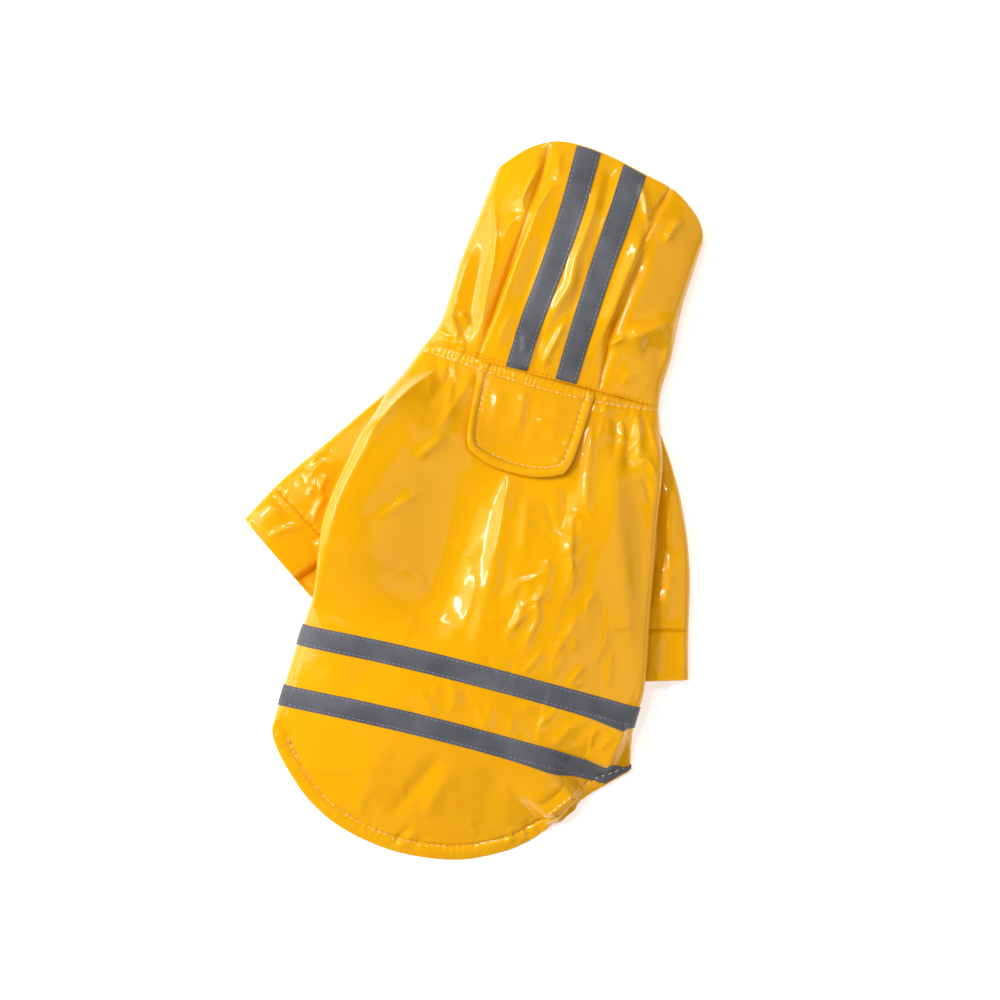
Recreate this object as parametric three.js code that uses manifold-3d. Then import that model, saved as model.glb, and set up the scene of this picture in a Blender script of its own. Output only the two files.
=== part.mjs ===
// A small hooded dog raincoat of glossy coated cloth, laid out on its belly with its back up.
// The body and the hood are flattened tubes: a crowned upper layer that rolls round two side folds into a
// flat lower layer. Two short sleeves lie out from the armholes, partly under the body's edges.
// Units are millimetres. In the tables +Y runs from the neck seam to the brim, and +X to the viewer's right.
import * as THREE from "three";
import { mergeVertices } from "three/addons/utils/BufferGeometryUtils.js";
import Module from "manifold-3d";

const wasm = await Module();
wasm.setup();

// Driving dimensions
const CLOTH = 1.0; // wall thickness of every cloth piece
const SEAM_GAP = 0.3; // between two pieces that are sewn together
const TAPE_WIDTH = 10.4; // reflective tape
const TAPE_THICKNESS = 0.7;
const NECK_Y = 4.5; // neck seam
const BODY_NECK = NECK_Y - SEAM_GAP / 2;
const HOOD_NECK = NECK_Y + SEAM_GAP / 2;
const SIDE_WRAP = 11; // how far the back panel runs on under the body, from fold to side seam
const ARMHOLE_WRAP = 6; // the same beside the armholes
const LAP = 7; // how far each belly front runs past the centre line
const LAP_RAMP = 6; // the upper front comes down to the floor over this distance
const STUD_RADIUS = 4.5; // press-stud cap
const STUD_POST_RADIUS = 1.8;
const STUD_CAP = 1.0;
const STUD_CHAMFER = 0.5;
const STUD_TOP = 2 * CLOTH + 2 * SEAM_GAP + STUD_CAP; // a stud's whole height, through both fronts
const STUD_PLACES = [-18, -52, -86, -120];
const BELLY_SHARE = 0.8; // the belly's length at its centre, as a share of the side fold's
const THROAT_SHARE = 0.22; // the hood's length at the throat, as a share of its side fold's
const ARCH_POWER = 2.4; // how flat the upper layers' arch is on top, and how steep at the sides
const CUFF_SEAM = 0.8; // where along a sleeve's table the cuff is sewn on
const CUFF_GAP = 0.0045; // half the gap there, in the same measure

const SOLVE_ROUNDS = 8; // rounds in which a belly point settles

// Numbers of grid steps. A turn is half of the way round a folded edge, from under it to the top.
const TURN_STEPS = 5;
const BACK_ROWS = { above: 17, on: 2, between: 3, below: 8 }; // above, on, between and below the tapes
const BACK_TOP = 22; // across the back
const BELLY_GRID = { down: 22, across: 12 };
const HOOD_ROWS = 18;
const HOOD_COLUMNS = { outside: 3, on: 2, between: 4 }; // outside, on and between the tapes
const HOOD_SIDE = { top: 7, under: 6 };
const SLEEVE_ROWS = { sleeve: 9, cuff: 3 };
const SLEEVE_COLUMNS = { top: 9, under: 4 };
const FLAP_GRID = { down: 10, across: 12 };
const HOLE_SIDES = 20;
const STUD_SIDES = 14;

// The body's side folds as they lie: place and how far a sleeve lifts them off the floor.
const BODY_LEFT = [
  { y: BODY_NECK, x: -62.5, lift: 0 },
  { y: -12, x: -69, lift: 3.4 },
  { y: -22, x: -74, lift: 6.4 },
  { y: -34, x: -75, lift: 8.6 },
  { y: -48, x: -75.8, lift: 9.6 },
  { y: -75, x: -82, lift: 9.8 },
  { y: -100, x: -81.8, lift: 9.8 },
  { y: -132, x: -84, lift: 8.8 },
  { y: -150, x: -85.8, lift: 4.5 },
  { y: -176, x: -87.3, lift: 0.8 },
  { y: -200, x: -88.2, lift: 0 },
];
const BODY_RIGHT = [
  { y: BODY_NECK, x: 60, lift: 0 },
  { y: -8, x: 64, lift: 3.8 },
  { y: -20, x: 68, lift: 7.2 },
  { y: -32, x: 70.5, lift: 8.9 },
  { y: -48, x: 72.8, lift: 9.6 },
  { y: -66, x: 76, lift: 9.8 },
  { y: -95, x: 81, lift: 9.8 },
  { y: -134, x: 88, lift: 9.4 },
  { y: -155, x: 88, lift: 4.6 },
  { y: -176, x: 92, lift: 0 },
];
// Down the middle of the back, from the neck (0) to the tail's hem (1): height and the side folds' radius.
const BODY_SPINE = [
  { v: 0, crown: 15, roll: 4 },
  { v: 0.1, crown: 19, roll: 4 },
  { v: 0.28, crown: 25, roll: 4 },
  { v: 0.55, crown: 26, roll: 4 },
  { v: 0.75, crown: 21, roll: 3.8 },
  { v: 0.88, crown: 11.5, roll: 2.8 },
  { v: 0.96, crown: 3.6, roll: 1.8 },
  { v: 1, crown: 1, roll: 1.3 },
];
// The tail's hem, from the left corner round to the right one.
const TAIL_HEM = [
  { x: -88.2, y: -200 },
  { x: -84.5, y: -207.5 },
  { x: -74.5, y: -219 },
  { x: -60, y: -231.3 },
  { x: -40, y: -240.6 },
  { x: -12, y: -245 },
  { x: 18, y: -241.5 },
  { x: 40, y: -231.6 },
  { x: 52.5, y: -222 },
  { x: 59.5, y: -213 },
  { x: 66.5, y: -203.5 },
  { x: 71, y: -196.5 },
  { x: 81, y: -186.5 },
  { x: 92, y: -176 },
];

const HOOD_LEFT = [
  { y: HOOD_NECK, x: -62.5, lift: 0 },
  { y: 12, x: -59, lift: 0 },
  { y: 21, x: -56.5, lift: 0 },
  { y: 50, x: -55, lift: 0 },
  { y: 78, x: -51.5, lift: 0 },
  { y: 100, x: -48.8, lift: 0 },
];
const HOOD_RIGHT = [
  { y: HOOD_NECK, x: 60, lift: 0 },
  { y: 14, x: 59.2, lift: 0 },
  { y: 28, x: 60, lift: 0 },
  { y: 55, x: 59, lift: 0 },
  { y: 75, x: 60, lift: 0 },
  { y: 90, x: 61, lift: 0 },
];
const HOOD_SPINE = [
  { v: 0, crown: 15, roll: 4 },
  { v: 0.15, crown: 18, roll: 4.4 },
  { v: 0.45, crown: 22, roll: 5 },
  { v: 0.8, crown: 20, roll: 4.6 },
  { v: 1, crown: 15, roll: 3.6 },
];
// The hood's brim, from the left corner to the right one.
const BRIM = [
  { x: -48.8, y: 100 },
  { x: -37, y: 112.5 },
  { x: -24, y: 119.8 },
  { x: -10, y: 121 },
  { x: 5, y: 119.3 },
  { x: 22.5, y: 115.3 },
  { x: 40, y: 111 },
  { x: 52, y: 103.5 },
  { x: 58, y: 97 },
  { x: 61, y: 90 },
];
// The hood's two long seams and the middles of its two tapes.
const HOOD_LINES = [
  { y: 0, leftSeam: -34.5, leftTape: -14.4, rightTape: 11.2, rightSeam: 29 },
  { y: 30, leftSeam: -32.5, leftTape: -12.6, rightTape: 12.3, rightSeam: 27.8 },
  { y: 60, leftSeam: -30, leftTape: -9.3, rightTape: 14, rightSeam: 28 },
  { y: 90, leftSeam: -27.5, leftTape: -7, rightTape: 16.6, rightSeam: 33.5 },
  { y: 125, leftSeam: -26, leftTape: -6.4, rightTape: 18.8, rightSeam: 40.5 },
];

// Sleeves: a row for each section from the armhole to the cuff's end, with its two folded edges.
const SLEEVE_LEFT = [
  { t: 0, outerX: -70, outerY: -15.5, innerX: -56, innerY: -75, crown: 7, outerRoll: 1.2, innerRoll: 2.2 },
  { t: 0.15, outerX: -80.2, outerY: -29.5, innerX: -61.5, innerY: -84, crown: 8.6, outerRoll: 2.2, innerRoll: 2.4 },
  { t: 0.4, outerX: -95.8, outerY: -51.8, innerX: -66.5, innerY: -94, crown: 9.4, outerRoll: 2.7, innerRoll: 2.6 },
  { t: 0.6, outerX: -107.3, outerY: -67.5, innerX: -69.5, innerY: -102, crown: 9.6, outerRoll: 2.8, innerRoll: 2.7 },
  { t: 0.8, outerX: -117, outerY: -82, innerX: -72, innerY: -110, crown: 9.4, outerRoll: 2.8, innerRoll: 2.7 },
  { t: 1, outerX: -127.5, outerY: -101.5, innerX: -80.5, innerY: -134, crown: 9, outerRoll: 2.6, innerRoll: 2.6 },
];
const SLEEVE_RIGHT = [
  { t: 0, outerX: 62.3, outerY: -4.5, innerX: 46.5, innerY: -64, crown: 6.6, outerRoll: 1.2, innerRoll: 2.2 },
  { t: 0.15, outerX: 74, outerY: -22, innerX: 45, innerY: -75, crown: 8, outerRoll: 2.4, innerRoll: 2.4 },
  { t: 0.35, outerX: 86.6, outerY: -46, innerX: 43.8, innerY: -87, crown: 8.6, outerRoll: 3.2, innerRoll: 2.6 },
  { t: 0.58, outerX: 96.3, outerY: -72.5, innerX: 44.2, innerY: -100, crown: 8.8, outerRoll: 3.8, innerRoll: 2.7 },
  { t: 0.8, outerX: 102.8, outerY: -100.5, innerX: 46.5, innerY: -113.5, crown: 8.8, outerRoll: 3.8, innerRoll: 2.7 },
  { t: 1, outerX: 108.8, outerY: -123.8, innerX: 54, innerY: -139.5, crown: 8.8, outerRoll: 3.6, innerRoll: 2.6 },
];

// The tapes across the back: height in the middle, and how far they hang at the two sides.
const BACK_TAPES = {
  upper: { y: -147, leftDrop: 3.4, rightDrop: 1.6 },
  lower: { y: -178.2, leftDrop: 4.2, rightDrop: 2 },
};
const TAPE_SPAN = { left: 86, right: 90 }; // from the middle to where the drop is measured
const TAPE_LIMIT = { upperEdge: 0.984, lowerEdge: 0.993 }; // the lower tape stays clear of the right corner
const HEM_CROWDING = 1.3; // above 1, the rows stand closer towards the hem

// The wrap is narrower beside the armholes, and narrows again towards the tail.
const ARMHOLE_SPAN = { left: [0.07, 0.42], right: [0.04, 0.42], blend: 0.05 };
const WRAP_FADE = { end: 1.25, over: 0.4 };
const WRAP_LEAST = 1.5; // over the side fold's radius

// Where the sleeves' hidden parts lift the belly: how far in from the side fold, the ramp down from there, the
// y where the lift sets in and how fast it does.
const BELLY_LIFT = {
  left: { reach: 18, ramp: 15, from: -63, start: 11 },
  right: { reach: 35, ramp: 16, from: -52, start: 11 },
  neck: { reach: 8, ramp: 12, from: -18, start: 8 },
};
const LAP_CLEAR = 1; // the upper front stays up for this distance past the lower one's edge
const BELLY_END = 0.9; // first guess of where the belly's hem crosses the side fold

// An armhole's cut: how far it runs past the sleeve's ends, then its corners on the sleeve's side, as steps
// outwards and along y.
const ARMHOLE_CUT = { pastOuter: 2, pastInner: 1.5, near: [5, -4], middle: [14, -8], far: 20, below: 10, above: 2 };
const CUT_HEIGHT = { from: -20, length: 60 };

// The flap over the back of the neck. pinch is how much its tip draws in, and standOff how far it stands up.
const FLAP = {
  left: -32,
  right: 27,
  top: 3.6,
  bottom: -45.4,
  corner: 5.5,
  cornerPower: 2.6,
  taper: 3,
  pinch: 2.5,
  pinchPower: 10,
  standOff: 2.6,
  standOffFrom: 0.15,
  standOffMiddle: 0.6,
};

// Largest folds, as soft ridges (height above zero) and troughs (below it) between two points of the plan.
const BODY_FOLDS = [
  { x0: -52, y0: -4, x1: -74, y1: -62, width: 5, height: 2.6 }, // the left shoulder's sharp edge
  { x0: -74, y0: -62, x1: -79, y1: -150, width: 4, height: 1.8 },
  { x0: -44, y0: -14, x1: -62, y1: -70, width: 9, height: -1.6 },
  { x0: -30, y0: -30, x1: -48, y1: -50, width: 5, height: 2.2 },
  { x0: -6, y0: -42, x1: 2, y1: -78, width: 5, height: 1.8 },
  { x0: 2, y0: -78, x1: -6, y1: -140, width: 9, height: 1.4 },
  { x0: 30, y0: -20, x1: 42, y1: -96, width: 6, height: 1.5 },
  { x0: 18, y0: -100, x1: 30, y1: -128, width: 6, height: 1.2 },
  { x0: 44, y0: -8, x1: 60, y1: -60, width: 6, height: -1.8 },
  { x0: 56, y0: -12, x1: 66, y1: -34, width: 4, height: 1.8 },
  { x0: -34, y0: -150, x1: -58, y1: -176, width: 8, height: -1.2 },
  { x0: 78, y0: -146, x1: 72, y1: -178, width: 6, height: 2.4 }, // the facet by the right corner
  { x0: 2, y0: -196, x1: -12, y1: -238, width: 8, height: -1.4 },
  { x0: 66, y0: -186, x1: 56, y1: -206, width: 5, height: 3.4 }, // the hem's curl
];
const HOOD_FOLDS = [
  { x0: 4, y0: 84, x1: -3, y1: 12, width: 4.2, height: 2.4 },
  { x0: -20, y0: 100, x1: -32, y1: 58, width: 4, height: 1.8 },
  { x0: -33, y0: 78, x1: -38, y1: 22, width: 3.5, height: -2.4 },
  { x0: -45, y0: 92, x1: -42, y1: 20, width: 5, height: 2 },
  { x0: -22, y0: 70, x1: -24, y1: 18, width: 6, height: -1.8 },
  { x0: 24, y0: 100, x1: 24, y1: 22, width: 3.6, height: 2 },
  { x0: 31, y0: 60, x1: 33, y1: 10, width: 3.6, height: -2.6 },
  { x0: 36, y0: 20, x1: 57, y1: 54, width: 6, height: -2.2 },
  { x0: 46, y0: 92, x1: 42, y1: 60, width: 7, height: 1.6 },
];
const SLEEVE_LEFT_FOLDS = [
  { x0: -92, y0: -58, x1: -104, y1: -84, width: 5, height: 2.2 },
  { x0: -84, y0: -70, x1: -92, y1: -100, width: 5, height: -1.6 },
];
const SLEEVE_RIGHT_FOLDS = [
  { x0: 80, y0: -34, x1: 95, y1: -96, width: 6, height: 3.4 },
  { x0: 97, y0: -100, x1: 102, y1: -122, width: 6, height: 3 },
];

// How a fold fades: at its own two ends, and where it nears a folded edge (in radii), an end curve or a
// sleeve's edge (in millimetres).
const FOLD_FADE = { over: 0.35, start: 0.4, byEdge: 2.5, byEnd: 0.04, atEnd: 0.3, onSleeve: 6 };

// Small maths
const clamp = (t) => Math.min(1, Math.max(0, t));
const ease = (t) => clamp(t) ** 2 * (3 - 2 * clamp(t));
const mix = (a, b, t) => a + (b - a) * t;

// Every column of a table at a place between its rows, by a cubic through the rows with level-headed slopes.
function rowAt(table, key, at) {
  const down = table[0][key] > table[table.length - 1][key];
  let i = 0;
  while (i < table.length - 2 && (down ? at < table[i + 1][key] : at > table[i + 1][key])) i += 1;
  const [a, b] = [table[i], table[i + 1]];
  const span = b[key] - a[key];
  const t = clamp((at - a[key]) / span);
  const slope = (j, column) => {
    const before = table[Math.max(j - 1, 0)];
    const after = table[Math.min(j + 1, table.length - 1)];
    return ((after[column] - before[column]) / (after[key] - before[key])) * span;
  };
  const out = {};
  for (const column of Object.keys(a)) {
    const [p, q] = [a[column], b[column]];
    const [m, n] = [slope(i, column), slope(i + 1, column)];
    const rise = q - p;
    out[column] = p + m * t * (1 - t) ** 2 - n * t * t * (1 - t) + rise * t * t * (3 - 2 * t);
  }
  return out;
}

// A smooth plan curve through a table's x and y.
const planCurve = (rows) => new THREE.SplineCurve(rows.map((r) => new THREE.Vector2(r.x, r.y)));

// Height that the folds add at a plan point: a bell across each fold, fading at its two ends.
function foldHeight(folds, x, y) {
  let sum = 0;
  for (const f of folds) {
    const [dx, dy] = [f.x1 - f.x0, f.y1 - f.y0];
    const length = Math.hypot(dx, dy);
    const along = ((x - f.x0) * dx + (y - f.y0) * dy) / length / length;
    const across = ((x - f.x0) * dy - (y - f.y0) * dx) / length;
    const { over, start } = FOLD_FADE;
    const ends = ease(along / over + start) * ease((1 - along) / over + start);
    sum += f.height * ends * Math.exp(-((across / f.width) ** 2));
  }
  return sum;
}

// A flattened tube. Its upper layer spans two side folds, the neck line and an end curve.
class Tube {
  constructor({ left, right, spine, end, folds, lowerShare, flare }) {
    Object.assign(this, { left, right, spine, folds, lowerShare, flare });
    this.end = planCurve(end);
    this.neck = left[0].y;
    this.leftEnd = left[left.length - 1].y;
    this.rightEnd = right[right.length - 1].y;
    this.down = Math.sign(this.leftEnd - this.neck);
  }

  // The fold on one side: -1 left, 1 right.
  fold(side, v) {
    return side < 0
      ? rowAt(this.left, "y", mix(this.neck, this.leftEnd, v))
      : rowAt(this.right, "y", mix(this.neck, this.rightEnd, v));
  }

  // Plan of the upper layer: the patch between the two folds, the neck line and the end curve.
  plan(u, v) {
    const [l, r] = [this.fold(-1, v), this.fold(1, v)];
    const [l0, r0, l1, r1] = [this.left[0], this.right[0], this.fold(-1, 1), this.fold(1, 1)];
    const e = this.end.getPointAt(clamp(u));
    const corner = (axis) =>
      (1 - u) * (1 - v) * l0[axis] + u * (1 - v) * r0[axis] + (1 - u) * v * l1[axis] + u * v * r1[axis];
    const x = (1 - v) * mix(l0.x, r0.x, u) + v * e.x + mix(l.x, r.x, u) - corner("x");
    const y = (1 - v) * mix(l0.y, r0.y, u) + v * e.y + mix(l.y, r.y, u) - corner("y");
    return new THREE.Vector2(x, y);
  }

  // Plan distance for one unit of u next to a fold, and the direction in which the upper layer leaves it.
  leaving(side, v) {
    const step = 0.02;
    const edge = this.plan(side < 0 ? 0 : 1, v);
    const away = this.plan(side < 0 ? step : 1 - step, v).sub(edge);
    return { speed: away.length() / step, direction: away.normalize() };
  }

  // Height of the upper layer over its side folds' tops, without the folds.
  arch(u, v) {
    const { crown, roll } = rowAt(this.spine, "v", v);
    const edge = mix(this.fold(-1, v).lift, this.fold(1, v).lift, u) + 2 * roll;
    return { edge, rise: (crown - edge) * (1 - Math.abs(2 * u - 1) ** ARCH_POWER) };
  }

  upper(u, v) {
    const { edge, rise } = this.arch(u, v);
    const p = this.plan(u, v);
    const { roll } = rowAt(this.spine, "v", v);
    const near = Math.min(u, 1 - u) * Math.abs(this.fold(1, v).x - this.fold(-1, v).x);
    const { byEdge, byEnd, atEnd } = FOLD_FADE;
    const fade = ease(near / (byEdge * roll)) * ease((1 - v) / byEnd + atEnd);
    return new THREE.Vector3(p.x, p.y, edge + rise + fade * foldHeight(this.folds, p.x, p.y));
  }

  // Round a side fold: turn runs from -1 (underneath) through 0 (outermost) to 1 (on top).
  round(side, turn, v) {
    const { roll } = rowAt(this.spine, "v", v);
    const angle = (turn * Math.PI) / 2;
    const inset = roll * (1 - Math.cos(angle));
    const fold = this.fold(side, v);
    const { speed, direction } = this.leaving(side, v);
    const top = (1 + Math.sin(angle)) / 2;
    const dx = mix(-side, direction.x, top);
    const dy = mix(0, direction.y, top);
    const u = side < 0 ? inset / speed : 1 - inset / speed;
    const rise = turn > 0 ? this.arch(u, v).rise : 0;
    const lift = turn > 0 ? this.arch(u, v).edge - 2 * roll : fold.lift;
    const z = lift + roll * (1 + Math.sin(angle)) + rise;
    return new THREE.Vector3(fold.x + inset * dx, fold.y + inset * dy, z);
  }

  // u where the top of the roll ends and the open upper layer begins.
  topStart(side, v) {
    const share = rowAt(this.spine, "v", v).roll / this.leaving(side, v).speed;
    return side < 0 ? share : 1 - share;
  }

  width(v) {
    return this.fold(1, v).x - this.fold(-1, v).x;
  }

  // The lower layer's end, as a share of the side fold's length.
  lowerEnd(u) {
    return this.lowerShare + (1 - this.lowerShare) * Math.abs(2 * u - 1) ** this.flare;
  }

  // Plan of the lower layer: straight lines from fold to fold.
  lowerPlan(u, v) {
    const [l, r] = [this.fold(-1, v), this.fold(1, v)];
    return new THREE.Vector2(mix(l.x, r.x, u), mix(l.y, r.y, u));
  }

  // Underside height next to a side fold.
  wrap(side, inset, v) {
    const share = inset / this.width(v);
    const u = side < 0 ? share : 1 - share;
    const p = this.lowerPlan(u, v);
    return new THREE.Vector3(p.x, p.y, this.fold(side, v).lift);
  }
}

const body = new Tube({
  left: BODY_LEFT,
  right: BODY_RIGHT,
  spine: BODY_SPINE,
  end: TAIL_HEM,
  folds: BODY_FOLDS,
  lowerShare: BELLY_SHARE,
  flare: 1.5,
});
const hood = new Tube({
  left: HOOD_LEFT,
  right: HOOD_RIGHT,
  spine: HOOD_SPINE,
  end: BRIM,
  folds: HOOD_FOLDS,
  lowerShare: THROAT_SHARE,
  flare: 1.6,
});

// The share of the upper layer's width at which it passes a line of the plan, at one v.
function shareAtLine(tube, column, v) {
  let [low, high] = [0, 1];
  for (let i = 0; i < 30; i += 1) {
    const u = (low + high) / 2;
    const p = tube.plan(u, v);
    if (p.x < rowAt(HOOD_LINES, "y", p.y)[column]) low = u;
    else high = u;
  }
  return (low + high) / 2;
}

// v at which a column of the upper layer passes a line y(x). shareOf gives the column's u at each v.
function shareAtHeight(tube, shareOf, lineY) {
  let [low, high] = [0, 1];
  for (let i = 0; i < 30; i += 1) {
    const v = (low + high) / 2;
    const p = tube.plan(shareOf(v), v);
    if ((p.y - lineY(p.x)) * tube.down < 0) low = v;
    else high = v;
  }
  return (low + high) / 2;
}

// Upper-layer parameters of a plan point, by Newton's method.
function shareOfPoint(tube, x, y) {
  let [u, v] = [0.5, clamp((y - tube.neck) / (tube.leftEnd - tube.neck))];
  const step = 1e-3;
  for (let i = 0; i < 12; i += 1) {
    const p = tube.plan(u, v);
    const pu = tube.plan(u + step, v).sub(p).divideScalar(step);
    const pv = tube.plan(u, v + step).sub(p).divideScalar(step);
    const det = pu.x * pv.y - pu.y * pv.x;
    const [ex, ey] = [x - p.x, y - p.y];
    u += (ex * pv.y - ey * pv.x) / det;
    v += (ey * pu.x - ex * pu.y) / det;
  }
  return { u, v };
}

// Grids and walls
const steps = (from, to, count) => Array.from({ length: count + 1 }, (_, i) => mix(from, to, i / count));

// Unit normals of a grid of points. side is 1 or -1, so that they point out of the cloth's face side.
function gridNormals(grid, side, ring) {
  const [rows, cols] = [grid.length, grid[0].length];
  return grid.map((row, i) =>
    row.map((_, j) => {
      const next = ring ? row[(j + 1) % cols] : row[Math.min(j + 1, cols - 1)];
      const last = ring ? row[(j + cols - 1) % cols] : row[Math.max(j - 1, 0)];
      const across = next.clone().sub(last);
      const along = grid[Math.min(i + 1, rows - 1)][j].clone().sub(grid[Math.max(i - 1, 0)][j]);
      return across.cross(along).normalize().multiplyScalar(side);
    }),
  );
}

// A closed wall between the grid moved out by far and moved out by near. guard counts the columns at the
// start and at the end that only steer the normals, so that both pieces at a seam lean the same way.
function wall(surface, { side = 1, far = 0, near = -CLOTH, ring = false, guard = [0, 0] } = {}) {
  const kept = (row) => row.slice(guard[0], row.length - guard[1]);
  const normals = gridNormals(surface, side, ring).map(kept);
  const grid = surface.map(kept);
  const [rows, cols] = [grid.length, grid[0].length];
  const positions = [];
  const index = [];
  for (const offset of [far, near]) {
    grid.forEach((row, i) =>
      row.forEach((p, j) => positions.push(...p.clone().addScaledVector(normals[i][j], offset).toArray())),
    );
  }
  const at = (layer, i, j) => layer * rows * cols + i * cols + (j % cols);
  const quad = (a, b, c, d) => (side > 0 ? index.push(a, b, c, a, c, d) : index.push(a, c, b, a, d, c));
  const spans = ring ? cols : cols - 1;
  for (let i = 0; i < rows - 1; i += 1) {
    for (let j = 0; j < spans; j += 1) {
      quad(at(0, i, j), at(0, i, j + 1), at(0, i + 1, j + 1), at(0, i + 1, j));
      quad(at(1, i, j), at(1, i + 1, j), at(1, i + 1, j + 1), at(1, i, j + 1));
    }
    if (!ring) {
      quad(at(0, i, 0), at(0, i + 1, 0), at(1, i + 1, 0), at(1, i, 0));
      quad(at(0, i, cols - 1), at(1, i, cols - 1), at(1, i + 1, cols - 1), at(0, i + 1, cols - 1));
    }
  }
  for (let j = 0; j < spans; j += 1) {
    quad(at(0, 0, j), at(1, 0, j), at(1, 0, j + 1), at(0, 0, j + 1));
    quad(at(0, rows - 1, j), at(0, rows - 1, j + 1), at(1, rows - 1, j + 1), at(1, rows - 1, j));
  }
  const geometry = new THREE.BufferGeometry();
  geometry.setAttribute("position", new THREE.Float32BufferAttribute(positions, 3));
  geometry.setIndex(index);
  return geometry;
}

// A geometry as a manifold solid, and back.
function solid(geometry) {
  const bare = geometry.clone();
  bare.deleteAttribute("normal");
  bare.deleteAttribute("uv");
  const merged = mergeVertices(bare, 1e-4);
  return new wasm.Manifold(
    new wasm.Mesh({
      numProp: 3,
      vertProperties: new Float32Array(merged.attributes.position.array),
      triVerts: new Uint32Array(merged.index.array),
    }),
  );
}

function geometryOf(manifold) {
  const mesh = manifold.getMesh();
  const geometry = new THREE.BufferGeometry();
  geometry.setAttribute("position", new THREE.BufferAttribute(new Float32Array(mesh.vertProperties), 3));
  geometry.setIndex(Array.from(mesh.triVerts));
  return geometry;
}

// Pieces of the body

// The middle line of a tape across the back.
function tapeLine({ y, leftDrop, rightDrop }, x) {
  return y - leftDrop * Math.min(x / TAPE_SPAN.left, 0) ** 2 - rightDrop * Math.max(x / TAPE_SPAN.right, 0) ** 2;
}

// The places of the back's rows in one column. They keep to the edges of the two tapes.
function backStations(shareOf) {
  const at = (tape, offset) => shareAtHeight(body, shareOf, (x) => tapeLine(tape, x) + offset);
  const half = TAPE_WIDTH / 2;
  const { upper, lower } = BACK_TAPES;
  const [a, b] = [at(upper, half), at(upper, -half)];
  const [c, d] = [Math.min(at(lower, half), TAPE_LIMIT.upperEdge), Math.min(at(lower, -half), TAPE_LIMIT.lowerEdge)];
  const { above, on, between, below } = BACK_ROWS;
  return [
    ...steps(0, a, above),
    ...steps(a, b, on).slice(1),
    ...steps(b, c, between).slice(1),
    ...steps(c, d, on).slice(1),
    ...steps(0, 1, below).map((t) => mix(d, 1, 1 - (1 - t) ** HEM_CROWDING)).slice(1),
  ];
}

// The back panel's grid, from the left side seam over the top to the right side seam.
function backGrid() {
  const wrapColumn = (side, share) => (v) => {
    const roll = rowAt(BODY_SPINE, "v", v).roll;
    const inset = mix(roll, wrapsAt(v)[side < 0 ? "left" : "right"], share);
    return body.wrap(side, inset, v * lowerShareAt(inset, v));
  };
  const roundColumn = (side, turn) => (v) => body.round(side, turn, v * turnShare(turn, v));
  const topShare = (t) => (v) => mix(body.topStart(-1, v), body.topStart(1, v), t);
  const roundShare = (side, turn) => (v) => {
    const onTop = turn > 0 ? 1 - Math.cos((turn * Math.PI) / 2) : 0;
    return mix(side < 0 ? 0 : 1, body.topStart(side, v), onTop);
  };
  const edge = (side) => () => (side < 0 ? 0 : 1);
  const columns = [
    ...[1, 0.5].map((share) => [edge(-1), wrapColumn(-1, share)]),
    ...steps(-1, 1, TURN_STEPS).map((turn) => [roundShare(-1, turn), roundColumn(-1, turn)]),
    ...steps(0, 1, BACK_TOP).slice(1, -1).map((t) => [topShare(t), (v) => body.upper(topShare(t)(v), v)]),
    ...steps(1, -1, TURN_STEPS).map((turn) => [roundShare(1, turn), roundColumn(1, turn)]),
    ...[0.5, 1].map((share) => [edge(1), wrapColumn(1, share)]),
  ];
  const byColumn = columns.map(([shareOf, point]) => backStations(shareOf).map(point));
  return byColumn[0].map((_, i) => byColumn.map((column) => column[i]));
}

// The wrap on each side at a station.
const fullWrap = (v) => SIDE_WRAP * ease((WRAP_FADE.end - v) / WRAP_FADE.over);
function wrapsAt(v) {
  const open = ([from, to]) => ease((v - from) / ARMHOLE_SPAN.blend) * ease((to - v) / ARMHOLE_SPAN.blend);
  const wide = Math.max(fullWrap(v), rowAt(BODY_SPINE, "v", v).roll + WRAP_LEAST);
  return {
    left: mix(wide, ARMHOLE_WRAP, open(ARMHOLE_SPAN.left)),
    right: mix(wide, ARMHOLE_WRAP, open(ARMHOLE_SPAN.right)),
  };
}

// How much of a column's length lies under the body, at an inset from the fold.
const lowerShareAt = (inset, v) => body.lowerEnd(inset / body.width(v));
const turnShare = (turn, v) =>
  turn >= 0 ? 1 : mix(1, lowerShareAt(rowAt(BODY_SPINE, "v", v).roll, v), 1 - Math.cos((turn * Math.PI) / 2));

const backPanel = backGrid();

// A tape across the back, on the panel's own points: first is its first row there.
const TAPE_COLUMNS = [3, -3]; // the panel's columns that carry a tape, past the turn of each side fold
const backTape = (first) =>
  backPanel.slice(first, first + BACK_ROWS.on + 1).map((row) => row.slice(...TAPE_COLUMNS));

// Underside height of the belly: lifted over the sleeves' hidden parts, and over the other front at the lap.
function bellyHeight(x, y, upperFront) {
  const left = rowAt(BODY_LEFT, "y", y);
  const right = rowAt(BODY_RIGHT, "y", Math.max(y, BODY_RIGHT[BODY_RIGHT.length - 1].y));
  const lifted = (fold, inset, past, { reach, ramp, start }) =>
    fold.lift * (1 - ease((inset - reach) / ramp)) * ease(past / start);
  const onLeft = lifted(left, x - left.x, BELLY_LIFT.left.from - y, BELLY_LIFT.left);
  const onRight = lifted(right, right.x - x, BELLY_LIFT.right.from - y, BELLY_LIFT.right);
  const byNeck = (fold, inset) => lifted(fold, inset, y - BELLY_LIFT.neck.from, BELLY_LIFT.neck);
  const neck = byNeck(left, x - left.x) + byNeck(right, right.x - x);
  const lap = upperFront ? (CLOTH + SEAM_GAP) * (1 - ease((x - LAP - LAP_CLEAR) / LAP_RAMP)) : 0;
  return onLeft + onRight + neck + lap;
}

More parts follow.
